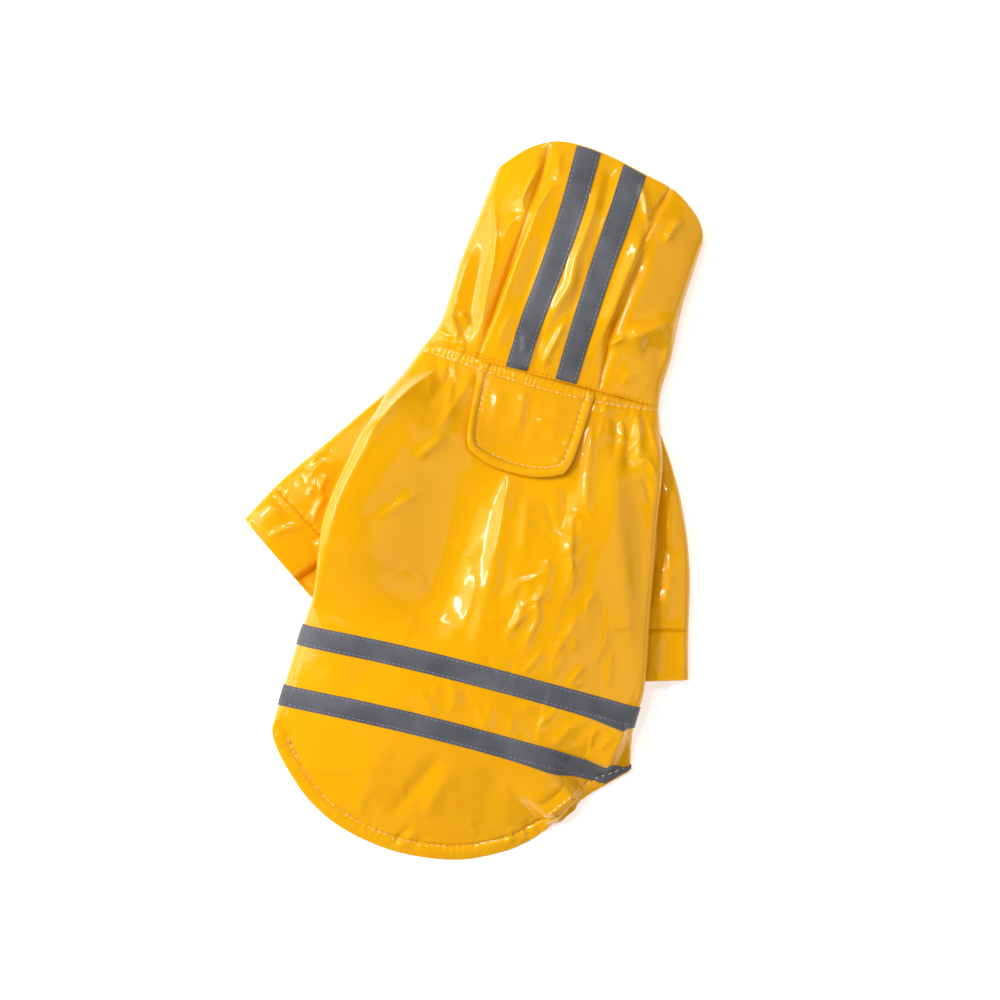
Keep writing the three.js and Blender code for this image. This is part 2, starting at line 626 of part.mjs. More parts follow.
// A belly front's grid, from its side seam to past the centre line. side is -1 for the left front.
function bellyFront(side) {
  const grid = steps(0, 1, BELLY_GRID.down).map((s) => {
    return steps(0, 1, BELLY_GRID.across).map((t) => {
      let [x, y, v] = [0, 0, s * BELLY_END];
      for (let i = 0; i < SOLVE_ROUNDS; i += 1) {
        const wrap = Math.max(wrapsAt(v)[side < 0 ? "left" : "right"], fullWrap(v));
        const outer = (wrap + SEAM_GAP) / body.width(v);
        const [l, r] = [body.fold(-1, v), body.fold(1, v)];
        const centre = (-side * LAP - l.x) / (r.x - l.x);
        const u = mix(side < 0 ? outer : 1 - outer, centre, t);
        [x, y] = body.lowerPlan(u, v).toArray();
        v = s * body.lowerEnd(u);
      }
      return new THREE.Vector3(x, y, bellyHeight(x, y, side > 0));
    });
  });
  return solid(wall(grid, { side: -side, far: 0, near: -CLOTH }));
}

// A right prism over a plan outline, tall enough to cut through every layer.
function cutter(outline) {
  const shape = new THREE.Shape(outline.map(([x, y]) => new THREE.Vector2(x, y)));
  const prism = new THREE.ExtrudeGeometry(shape, { depth: CUT_HEIGHT.length, bevelEnabled: false });
  prism.translate(0, 0, CUT_HEIGHT.from);
  return solid(prism);
}

// The armhole in a belly front: everything on the sleeve's side of the line where the sleeve starts.
function armholeCut(table, side) {
  const start = table[0];
  const along = new THREE.Vector2(start.innerX - start.outerX, start.innerY - start.outerY).normalize();
  const inward = new THREE.Vector2(-side, 0).addScaledVector(along, side * along.x).normalize();
  const point = (x, y, way) => [x + inward.x * SEAM_GAP + along.x * way, y + inward.y * SEAM_GAP + along.y * way];
  const { pastOuter, pastInner, near, middle, far, below, above } = ARMHOLE_CUT;
  return cutter([
    point(start.outerX, start.outerY, -pastOuter),
    point(start.innerX, start.innerY, pastInner),
    [start.innerX + side * near[0], start.innerY + near[1]],
    [start.innerX + side * middle[0], start.innerY + middle[1]],
    [start.outerX + side * far, start.innerY - below],
    [start.outerX + side * far, start.outerY + above],
  ]);
}

// A press stud: a cap flush in the lower front, a post through both fronts and a cap on the upper one.
function studProfile() {
  const points = [
    [0, 0],
    [STUD_RADIUS, 0],
    [STUD_RADIUS, STUD_CAP],
    [STUD_POST_RADIUS, STUD_CAP],
    [STUD_POST_RADIUS, STUD_TOP - STUD_CAP],
    [STUD_RADIUS, STUD_TOP - STUD_CAP],
    [STUD_RADIUS - STUD_CHAMFER, STUD_TOP],
    [0, STUD_TOP],
  ];
  return points.map(([r, z]) => new THREE.Vector2(r, z));
}

// A round hole through a front at a stud's place.
function studHole(radius, y) {
  const hole = new THREE.CylinderGeometry(radius, radius, CUT_HEIGHT.length, HOLE_SIDES);
  hole.rotateX(Math.PI / 2);
  hole.translate(0, y, 0);
  return solid(hole);
}

function pierced(front, radius) {
  return STUD_PLACES.reduce((left, y) => left.subtract(studHole(radius, y)), front);
}

const bellyLeft = pierced(bellyFront(-1).subtract(armholeCut(SLEEVE_LEFT, -1)), STUD_RADIUS + SEAM_GAP);
const bellyRight = pierced(bellyFront(1).subtract(armholeCut(SLEEVE_RIGHT, 1)), STUD_POST_RADIUS + SEAM_GAP);

// Sleeves and cuffs: a ring of points for each section, round both folded edges.
function sleeveRing(table, folds, t) {
  const r = rowAt(table, "t", t);
  const outer = new THREE.Vector2(r.outerX, r.outerY);
  const inner = new THREE.Vector2(r.innerX, r.innerY);
  const width = outer.distanceTo(inner);
  const at = (a) => outer.clone().lerp(inner, a / width);
  const base = (a) => 2 * mix(r.outerRoll, r.innerRoll, a / width);
  const arch = (a) => (r.crown - base(a)) * (1 - Math.abs((2 * a) / width - 1) ** ARCH_POWER);
  const ring = [];
  const push = (a, z) => {
    const p = at(a);
    ring.push(new THREE.Vector3(p.x, p.y, z));
  };
  for (const turn of steps(-1, 1, TURN_STEPS)) {
    const angle = (turn * Math.PI) / 2;
    const a = r.outerRoll * (1 - Math.cos(angle));
    push(a, r.outerRoll * (1 + Math.sin(angle)) + (turn > 0 ? arch(a) : 0));
  }
  for (const a of steps(r.outerRoll, width - r.innerRoll, SLEEVE_COLUMNS.top).slice(1, -1)) {
    const p = at(a);
    const fade = ease(Math.min(a - r.outerRoll, width - r.innerRoll - a) / FOLD_FADE.onSleeve);
    push(a, base(a) + arch(a) + fade * foldHeight(folds, p.x, p.y));
  }
  for (const turn of steps(1, -1, TURN_STEPS)) {
    const angle = (turn * Math.PI) / 2;
    const a = width - r.innerRoll * (1 - Math.cos(angle));
    push(a, r.innerRoll * (1 + Math.sin(angle)) + (turn > 0 ? arch(a) : 0));
  }
  for (const a of steps(width - r.innerRoll, r.outerRoll, SLEEVE_COLUMNS.under).slice(1, -1)) push(a, 0);
  return ring;
}

function sleeveTube(table, folds, from, to, count, side) {
  return wall(
    steps(from, to, count).map((t) => sleeveRing(table, folds, t)),
    { side, ring: true },
  );
}

// Pieces of the hood
const hoodRows = steps(0, 1, HOOD_ROWS);
const SEAM_GUARD = 3; // how far past a long seam the guard columns lie

// The centre panel's columns keep to the tapes' edges.
function hoodCentreRow(v) {
  const one = 1 / hood.width(v);
  const half = (TAPE_WIDTH / 2) * one;
  const at = (column) => shareAtLine(hood, column, v);
  const [from, to] = [at("leftSeam") + (SEAM_GAP / 2) * one, at("rightSeam") - (SEAM_GAP / 2) * one];
  const [left, right] = [at("leftTape"), at("rightTape")];
  const { outside, on, between } = HOOD_COLUMNS;
  const shares = [
    from - SEAM_GUARD * one,
    ...steps(from, left - half, outside),
    ...steps(left - half, left + half, on).slice(1),
    ...steps(left + half, right - half, between).slice(1),
    ...steps(right - half, right + half, on).slice(1),
    ...steps(right + half, to, outside).slice(1),
    to + SEAM_GUARD * one,
  ];
  return shares.map((u) => hood.upper(u, v));
}
const hoodCentre = hoodRows.map(hoodCentreRow);

// A tape along the hood, on the centre panel's own points.
function hoodTape(order) {
  const { outside, on, between } = HOOD_COLUMNS;
  const first = 1 + outside + order * (on + between);
  return hoodCentre.map((row) => row.slice(first, first + on + 1));
}

// A side panel: from the long seam over the side fold to the centre of the throat.
function hoodSideRow(side, s) {
  const gap = SEAM_GAP / 2 / hood.width(s);
  const seam = shareAtLine(hood, side < 0 ? "leftSeam" : "rightSeam", s) + side * gap;
  const { roll } = rowAt(HOOD_SPINE, "v", s);
  const lower = (inset) => hood.lowerEnd(inset / hood.width(s));
  const row = [seam - (side * SEAM_GUARD) / hood.width(s), ...steps(seam, hood.topStart(side, s), HOOD_SIDE.top)]
    .slice(0, -1)
    .map((u) => hood.upper(u, s));
  for (const turn of steps(1, -1, TURN_STEPS)) {
    const share = turn >= 0 ? 1 : mix(1, lower(roll), 1 - Math.cos((turn * Math.PI) / 2));
    row.push(hood.round(side, turn, s * share));
  }
  const middle = (hood.width(s) - SEAM_GAP) / 2;
  for (const inset of steps(roll, middle, HOOD_SIDE.under).slice(1)) {
    row.push(hood.wrap(side, inset, s * lower(inset)));
  }
  return row;
}

// What lies on the panels

// The flap over the back of the neck: a rounded tongue that stands off a little towards its lower edge.
function flapGrid() {
  return steps(0, 1, FLAP_GRID.down).map((q) =>
    steps(0, 1, FLAP_GRID.across).map((p) => {
      const edge = Math.abs(2 * p - 1);
      const bottom = FLAP.bottom + FLAP.corner * edge ** FLAP.cornerPower;
      const pull = FLAP.taper * q + FLAP.pinch * q ** FLAP.pinchPower;
      const x = mix(FLAP.left + pull, FLAP.right - pull, p);
      const y = mix(FLAP.top, bottom, q);
      const { u, v } = shareOfPoint(body, x, y);
      const point = body.upper(u, v);
      const lifted = ease((q - FLAP.standOffFrom) / (1 - FLAP.standOffFrom));
      point.z += FLAP.standOff * lifted * mix(FLAP.standOffMiddle, 1, edge);
      return point;
    }),
  );
}

// Materials
const YELLOW = new THREE.MeshStandardMaterial({ color: 0xf5ae08, roughness: 0.25, metalness: 0 });
const TAPE = new THREE.MeshStandardMaterial({ color: 0x6d6d74, roughness: 0.55, metalness: 0 });
const STUD = new THREE.MeshStandardMaterial({ color: 0xd9a21c, roughness: 0.4, metalness: 0 });

const garment = new THREE.Group();
function add(name, geometry, material) {
  const mesh = new THREE.Mesh(geometry, material.clone());
  mesh.name = name;
  garment.add(mesh);
}

const onPanel = { side: -1, far: SEAM_GAP + TAPE_THICKNESS, near: SEAM_GAP };
const onHood = { ...onPanel, side: 1 };

add("back_panel", wall(backPanel, { side: -1 }), YELLOW);
add("belly_left", geometryOf(bellyLeft), YELLOW);
add("belly_right", geometryOf(bellyRight), YELLOW);
add("hood_centre", wall(hoodCentre, { side: 1, guard: [1, 1] }), YELLOW);
add("hood_left", wall(hoodRows.map((s) => hoodSideRow(-1, s)), { side: -1, guard: [1, 0] }), YELLOW);
add("hood_right", wall(hoodRows.map((s) => hoodSideRow(1, s)), { side: 1, guard: [1, 0] }), YELLOW);
const sleeves = { left: [SLEEVE_LEFT, SLEEVE_LEFT_FOLDS, -1], right: [SLEEVE_RIGHT, SLEEVE_RIGHT_FOLDS, 1] };
for (const [name, [table, folds, side]] of Object.entries(sleeves)) {
  const { sleeve, cuff } = SLEEVE_ROWS;
  add(`sleeve_${name}`, sleeveTube(table, folds, 0, CUFF_SEAM - CUFF_GAP, sleeve, side), YELLOW);
  add(`cuff_${name}`, sleeveTube(table, folds, CUFF_SEAM + CUFF_GAP, 1, cuff, side), YELLOW);
}
add("leash_flap", wall(flapGrid(), { side: -1, far: SEAM_GAP + CLOTH, near: SEAM_GAP }), YELLOW);
add("back_tape_upper", wall(backTape(BACK_ROWS.above), onPanel), TAPE);
add("back_tape_lower", wall(backTape(BACK_ROWS.above + BACK_ROWS.on + BACK_ROWS.between), onPanel), TAPE);
add("hood_tape_left", wall(hoodTape(0), onHood), TAPE);
add("hood_tape_right", wall(hoodTape(1), onHood), TAPE);
STUD_PLACES.forEach((y, i) => {
  const stud = new THREE.LatheGeometry(studProfile(), STUD_SIDES);
  stud.rotateX(Math.PI / 2);
  stud.translate(0, y, 0);
  add(`press_stud_${i + 1}`, stud, STUD);
});

// The frame's origin is the middle of the floor that the coat covers.
const box = new THREE.Box3().setFromObject(garment);
const middle = box.getCenter(new THREE.Vector3());
garment.position.set(-middle.x, -middle.y, -box.min.z);

export default garment;
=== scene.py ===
"""A small hooded dog raincoat of glossy coated cloth, laid out on its belly with its back up.

The solids come from the frame. This script dresses them: each cloth piece becomes a thin shell on its
solid's form, with its creases, gathers, sewn lines and stitches. Tables and shapes are in millimetres, in
the pattern's own plan: +Y from the neck seam to the brim, +X to the viewer's right, +Z up. Meshes are in
metres.
"""
from __future__ import annotations
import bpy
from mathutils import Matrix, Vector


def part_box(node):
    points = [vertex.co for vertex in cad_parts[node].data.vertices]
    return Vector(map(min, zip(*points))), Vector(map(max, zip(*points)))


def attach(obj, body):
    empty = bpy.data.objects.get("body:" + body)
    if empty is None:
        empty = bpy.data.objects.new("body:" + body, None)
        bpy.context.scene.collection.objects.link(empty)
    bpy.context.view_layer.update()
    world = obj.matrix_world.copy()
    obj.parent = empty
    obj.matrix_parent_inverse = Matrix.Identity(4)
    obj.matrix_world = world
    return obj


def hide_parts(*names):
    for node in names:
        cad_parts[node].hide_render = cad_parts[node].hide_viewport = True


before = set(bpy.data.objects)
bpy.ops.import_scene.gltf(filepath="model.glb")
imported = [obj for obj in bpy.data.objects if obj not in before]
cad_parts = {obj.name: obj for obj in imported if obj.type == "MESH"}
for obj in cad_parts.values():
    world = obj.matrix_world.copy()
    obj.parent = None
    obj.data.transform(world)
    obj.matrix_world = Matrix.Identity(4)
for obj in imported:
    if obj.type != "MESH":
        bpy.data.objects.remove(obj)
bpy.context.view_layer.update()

import logging
import math
from dataclasses import dataclass
from enum import Enum
from typing import Callable, Sequence

import bpy
import numpy as np
from mathutils import Vector

Array = np.ndarray
LOG = logging.getLogger("raincoat")
MM = 0.001

# Driving sizes, the solids' own
NECK_Y = 4.5
SEAM_GAP = 0.06  # sewn edges meet, and the solids' own gap of 0.3 mm closes
SHELL = 0.8  # the cloth as it shows at its hems, where it is turned under
FLAP_SHELL = 1.4  # the flap is two layers of cloth
CROWN_POWER = 2.4  # of the arch between two folded edges: 2 is a round one, and more is flatter on top
SIDE_WRAP = 11.0
ARMHOLE_WRAP = 6.0
LAP = 7.0
LAP_RAMP = 6.0
STUD_RADIUS = 4.5
STUD_PLACES = (-18, -52, -86, -120)
STUD_PRESS = 0.22  # how far a stud's cap stands out of the cloth that it presses in
STUD_RIM = 0.3  # pressed-in cloth that stays flat round a cap
STUD_DIMPLE = 2.0  # how far the cloth then takes to rise again
BELLY_SHARE = 0.8
THROAT_SHARE = 0.22
FIRST_STUD = ("press_stud_1", 0.0, STUD_PLACES[0])  # the node that ties the pattern's plan to the frame

# The tapes: width, wall, how far the face lies over the cloth's own, and how deep its stitches sink
TAPE_WIDTH = 10.4
TAPE_SHELL = 0.34
TAPE_STAND = 0.62
TAPE_GROOVE = 0.16
TAPE_HALVES = (86, 90)  # from the middle to a back tape's left and right end
BACK_STITCH_INSET = 0.95  # from a back tape's edge to its stitches
HOOD_STITCH_SHARE = 0.82  # place of a hood tape's stitches, as a share of half its width

# The flap: its two sides, and its ends at the middle and at the sides
FLAP_LEFT, FLAP_RIGHT = -32, 27
FLAP_TOP, FLAP_BOTTOM, FLAP_ROUNDING = 3.6, -45.4, 5.5

# How a sleeve lifts the belly: flat reach in from the side fold, the ramp after it, and y where it sets in.
LEFT_LIFT = (18, 15, -63)
RIGHT_LIFT = (35, 16, -52)
LIFT_START = 11  # length over which it sets in
NECK_LIFT = (8, 12, -18)  # the same beside the neck, above that y
NECK_LIFT_START = 8

# How a crease ends: worked out this many widths away, fading over this share of its length, and how far
# into that fade it starts
CREASE_REACH, CREASE_FADE, CREASE_START = 3.2, 0.35, 0.12

HALVINGS = 26  # steps of a search by halving, which leave less than a millionth
SHARP_ANGLE = 60  # degrees, so that a sewn edge's square rim keeps its corner
POD_SIDES = 8  # of a stitch

# The body's side folds: y, x and how far a sleeve lifts them off the floor.
BODY_LEFT = np.array([
    (NECK_Y - SEAM_GAP / 2, -62.5, 0.0), (-12, -69, 3.4), (-22, -74, 6.4), (-34, -75, 8.6), (-48, -75.8, 9.6),
    (-75, -82, 9.8), (-100, -81.8, 9.8), (-132, -84, 8.8), (-150, -85.8, 4.5), (-176, -87.3, 0.8),
    (-200, -88.2, 0.0),
])
BODY_RIGHT = np.array([
    (NECK_Y - SEAM_GAP / 2, 60, 0.0), (-8, 64, 3.8), (-20, 68, 7.2), (-32, 70.5, 8.9), (-48, 72.8, 9.6),
    (-66, 76, 9.8), (-95, 81, 9.8), (-134, 88, 9.4), (-155, 88, 4.6), (-176, 92, 0.0),
])
# Down the middle: share of the length, height, radius of the side folds.
BODY_SPINE = np.array([
    (0, 15, 4), (0.1, 19, 4), (0.28, 25, 4), (0.55, 26, 4), (0.75, 21, 3.8), (0.88, 11.5, 2.8),
    (0.96, 3.6, 1.8), (1, 1, 1.3),
])
TAIL_HEM = np.array([
    (-88.2, -200), (-84.5, -207.5), (-74.5, -219), (-60, -231.3), (-40, -240.6), (-12, -245), (18, -241.5),
    (40, -231.6), (52.5, -222), (59.5, -213), (66.5, -203.5), (71, -196.5), (81, -186.5), (92, -176),
])
HOOD_LEFT = np.array([
    (NECK_Y + SEAM_GAP / 2, -62.5, 0), (12, -59, 0), (21, -56.5, 0), (50, -55, 0), (78, -51.5, 0),
    (100, -48.8, 0),
])
HOOD_RIGHT = np.array([
    (NECK_Y + SEAM_GAP / 2, 60, 0), (14, 59.2, 0), (28, 60, 0), (55, 59, 0), (75, 60, 0), (90, 61, 0),
])
HOOD_SPINE = np.array([(0, 15, 4), (0.15, 18, 4.4), (0.45, 22, 5), (0.8, 20, 4.6), (1, 15, 3.6)])
BRIM = np.array([
    (-48.8, 100), (-37, 112.5), (-24, 119.8), (-10, 121), (5, 119.3), (22.5, 115.3), (40, 111), (52, 103.5),
    (58, 97), (61, 90),
])
# The hood's long seams and the middles of its tapes: y, left seam, left tape, right tape, right seam.
HOOD_LINES = np.array([
    (0, -34.5, -14.4, 11.2, 29), (30, -32.5, -12.6, 12.3, 27.8), (60, -30, -9.3, 14, 28),
    (90, -27.5, -7, 16.6, 33.5), (125, -26, -6.4, 18.8, 40.5),
])
# Sleeve sections: t, outer x and y, inner x and y, crown, outer and inner roll.
SLEEVE_LEFT = np.array([
    (0, -70, -15.5, -56, -75, 7, 1.2, 2.2), (0.15, -80.2, -29.5, -61.5, -84, 8.6, 2.2, 2.4),
    (0.4, -95.8, -51.8, -66.5, -94, 9.4, 2.7, 2.6), (0.6, -107.3, -67.5, -69.5, -102, 9.6, 2.8, 2.7),
    (0.8, -117, -82, -72, -110, 9.4, 2.8, 2.7), (1, -127.5, -101.5, -80.5, -134, 9, 2.6, 2.6),
])
SLEEVE_RIGHT = np.array([
    (0, 62.3, -4.5, 46.5, -64, 6.6, 1.2, 2.2), (0.15, 74, -22, 45, -75, 8, 2.4, 2.4),
    (0.35, 86.6, -46, 43.8, -87, 8.6, 3.2, 2.6), (0.58, 96.3, -72.5, 44.2, -100, 8.8, 3.8, 2.7),
    (0.8, 102.8, -100.5, 46.5, -113.5, 8.8, 3.8, 2.7), (1, 108.8, -123.8, 54, -139.5, 8.8, 3.6, 2.6),
])
CUFF_SEAM = 0.8
CUFF_SEAM_GAP = 0.0005


class Side(Enum):
    """The two sides of the coat, seen from above."""

    LEFT = -1
    RIGHT = 1


def ease(t: Array | float) -> Array:
    """Smooth step from 0 to 1: 3 t squared minus 2 t cubed, with t held in 0 to 1."""
    t = np.clip(t, 0.0, 1.0)
    return t * t * (3 - 2 * t)


def mix(a: Array | float, b: Array | float, t: Array | float) -> Array:
    """Straight-line mix of a and b."""
    return a + (b - a) * t


def turned_weight(turns: Array) -> Array:
    """How much relief the columns round a fold take: none underneath, and all of it on top."""
    return ease((turns + 0.1) / 1.1)


def rows_at(table: Array, at: Array) -> Array:
    """Every column of a table at keys between its rows.

    Formula: a cubic between two rows, whose slopes are those of the line through each row's neighbours.

    Args:
        table: rows of numbers, the key first, keys rising or falling.
        at: the keys asked for.

    Returns:
        Array with one more axis than at, holding all the columns.
    """
    keys = table[:, 0]
    way = 1.0 if keys[-1] > keys[0] else -1.0
    count = len(keys)
    i = np.clip(np.searchsorted(way * keys, way * at, side="right") - 1, 0, count - 2)
    before, after = np.maximum(np.arange(count) - 1, 0), np.minimum(np.arange(count) + 1, count - 1)
    slopes = (table[after] - table[before]) / (keys[after] - keys[before])[:, None]
    span = (keys[i + 1] - keys[i])[..., None]
    t = np.clip((at - keys[i])[..., None] / span, 0, 1)
    p, q = table[i], table[i + 1]
    m, n = slopes[i] * span, slopes[i + 1] * span
    return p + m * t * (1 - t) ** 2 - n * t * t * (1 - t) + (q - p) * t * t * (3 - 2 * t)


def spline(points: Array, count: int = 600) -> Array:
    """Points along the uniform Catmull-Rom curve through the given ones, evenly spaced along its length."""
    last = len(points) - 1
    t = np.linspace(0, last, count * 2)
    i = np.minimum(t.astype(int), last - 1)
    w = (t - i)[:, None]
    p0, p1 = points[np.maximum(i - 1, 0)], points[i]
    p2, p3 = points[i + 1], points[np.minimum(i + 2, last)]
    m, n = (p2 - p0) / 2, (p3 - p1) / 2
    curve = (2 * p1 - 2 * p2 + m + n) * w**3 + (3 * p2 - 3 * p1 - 2 * m - n) * w * w + m * w + p1
    length = np.append(0, np.cumsum(np.linalg.norm(np.diff(curve, axis=0), axis=1)))
    even = np.linspace(0, length[-1], count)
    return np.stack([np.interp(even, length, curve[:, k]) for k in range(curve.shape[1])], axis=1)


def boxed(points: Sequence[tuple[float, float]], reach: float, x: Array, y: Array) -> Array:
    """Which plan points lie in the box round a line's own points, widened by reach."""
    corners = np.array(points)
    low, high = corners.min(axis=0) - reach, corners.max(axis=0) + reach
    return (x > low[0]) & (x < high[0]) & (y > low[1]) & (y < high[1])


@dataclass(frozen=True)
class Path:
    """A smooth line in plan, for creases and sewn lines."""

    points: Array

    @classmethod
    def through(cls, points: Sequence[tuple[float, float]], steps: int = 8) -> "Path":
        """The curve through a few points, with a number of steps between each two."""
        return cls(spline(np.array(points, dtype=float), (len(points) - 1) * steps + 1))

    @property
    def length(self) -> float:
        """Length in millimetres."""
        return float(np.linalg.norm(np.diff(self.points, axis=0), axis=1).sum())

    def near(self, x: Array, y: Array) -> tuple[Array, Array]:
        """Where plan points lie against the line.

        Formula: the nearest point on each straight piece, and of those the nearest one.

        Args:
            x: flat array of plan x.
            y: flat array of plan y.

        Returns:
            Length along the line, and the distance from it, above zero on the left of its direction.
        """
        a, b = self.points[:-1], self.points[1:]
        d = b - a
        size = np.linalg.norm(d, axis=1)
        start = np.append(0, np.cumsum(size))[:-1]
        rx, ry = x[:, None] - a[:, 0], y[:, None] - a[:, 1]
        s = np.clip((rx * d[:, 0] + ry * d[:, 1]) / size**2, 0, 1)
        ox, oy = rx - s * d[:, 0], ry - s * d[:, 1]
        away = np.hypot(ox, oy)
        best = np.argmin(away, axis=1)
        pick = (np.arange(len(x)), best)
        sign = np.sign(d[best, 0] * oy[pick] - d[best, 1] * ox[pick])
        return start[best] + s[pick] * size[best], away[pick] * np.where(sign == 0, 1, sign)


@dataclass(frozen=True)
class Crease:
    """A soft ridge (height above zero) or trough (below) along a line, which fades out at both ends."""

    points: tuple[tuple[float, float], ...]
    width: float
    height: float
    lean: float = 0.0  # above zero, the slope on the line's right is the wider one
    edge: float = 1.5  # 2 is a round crest, and nearer 1 a sharp one

    def relief(self, x: Array, y: Array) -> Array:
        """Height at flat arrays of plan points: a bell of the distance, times a fade at the two ends."""
        out = np.zeros_like(x)
        near = boxed(self.points, CREASE_REACH * self.width, x, y)
        if not near.any():
            return out
        path = Path.through(self.points)
        along, across = path.near(x[near], y[near])
        width = self.width * np.where(across > 0, 1 - 0.5 * self.lean, 1 + 0.5 * self.lean)
        share = along / path.length
        ends = ease(share / CREASE_FADE + CREASE_START) * ease((1 - share) / CREASE_FADE + CREASE_START)
        out[near] = self.height * ends * np.exp(-((np.abs(across) / width) ** self.edge))
        return out


@dataclass(frozen=True)
class Wrinkles:
    """A patch of small uneven creases, drawn from a seed."""

    low: tuple[float, float]
    high: tuple[float, float]
    count: int
    direction: float  # degrees from +Y, turning left
    spread: float
    length: tuple[float, float]
    width: tuple[float, float]
    height: tuple[float, float]
    seed: int

    def creases(self) -> list[Crease]:
        """The patch's creases: uneven in place, way, length, width and height."""
        rng = np.random.default_rng(self.seed)
        made = []
        for _ in range(self.count):
            x, y = rng.uniform(self.low, self.high)
            turn = math.radians(self.direction + rng.normal(0, self.spread))
            half = rng.uniform(*self.length) / 2
            dx, dy = -math.sin(turn) * half, math.cos(turn) * half
            bow = rng.normal(0, 0.16) * half
            middle = (x + bow * math.cos(turn), y + bow * math.sin(turn))
            made.append(Crease(
                ((x - dx, y - dy), middle, (x + dx, y + dy)),
                rng.uniform(*self.width),
                rng.uniform(*self.height) * rng.choice([1, 1, -0.7]),
                lean=rng.uniform(-0.8, 0.8),
                edge=rng.uniform(1.5, 2.0),
            ))
        return made


@dataclass(frozen=True)
class SewnLine:
    """A row of stitches that sinks into the cloth and gathers it a little on both sides."""

    points: tuple[tuple[float, float], ...]
    groove: float = 0.4
    groove_width: float = 0.7
    pucker: float = 0.22
    pitch: float = 2.6
    reach: float = 1.8
    right: float = 1.0  # the gathers' reach on the line's right, as a share of that on its left
    swell: float = 0.0  # how far the cloth stands up on the left of the line
    swell_width: float = 3.0
    seed: int = 1

    @property
    def path(self) -> Path:
        """The line in plan."""
        return Path.through(self.points, 10)

    def relief(self, x: Array, y: Array) -> Array:
        """Height at flat arrays of plan points.

        Formula: minus a narrow bell on the line, plus a wave along it that dies away with distance and whose
        phase and strength wander, plus a rounded swell on its left.
        """
        out = np.zeros_like(x)
        near = boxed(self.points, max(5 * self.reach, self.swell_width + 3), x, y)
        if not near.any():
            return out
        path = self.path
        along, across = path.near(x[near], y[near])
        rng = np.random.default_rng(self.seed)
        knots = np.arange(-1, path.length / self.pitch + 2) * self.pitch
        phase = np.interp(along, knots, np.cumsum(rng.uniform(0.55, 1.45, len(knots))))
        strength = np.interp(along, knots, rng.uniform(0.15, 1.0, len(knots)))
        tilt = np.interp(along, knots, rng.normal(0, 0.25, len(knots)))
        inside = ease(along / 2) * ease((path.length - along) / 2)
        dying = np.exp(-np.abs(across) / (self.reach * np.where(across > 0, 1, self.right)))
        wave = np.sin(2 * np.pi * (phase + tilt * across / 4)) * strength * dying
        swell = self.swell * np.sin(np.pi * np.clip(across / self.swell_width, 0, 1))
        groove = -self.groove * np.exp(-((across / self.groove_width) ** 2))
        out[near] = inside * (self.pucker * wave + groove) + swell
        return out


Relief = Callable[[Array, Array], Array]


def relief_of(parts: Sequence[Crease | SewnLine]) -> Relief:
    """A function that sums the parts' relief over arrays of any shape."""

    def total(x: Array, y: Array) -> Array:
        """Height at plan points."""
        fx, fy = x.ravel(), y.ravel()
        out = np.zeros_like(fx)
        for part in parts:
            out += part.relief(fx, fy)
        return out.reshape(x.shape)

    return total


def normals_of(grid: Array, side: int, ring: bool = False) -> Array:
    """Unit normals of a grid of points: the cross product of its two directions, times side."""
    if ring:
        across = np.roll(grid, -1, axis=1) - np.roll(grid, 1, axis=1)
    else:
        across = np.gradient(grid, axis=1)
    along = np.gradient(grid, axis=0)
    n = np.cross(across, along)
    return side * n / np.maximum(np.linalg.norm(n, axis=-1, keepdims=True), 1e-9)


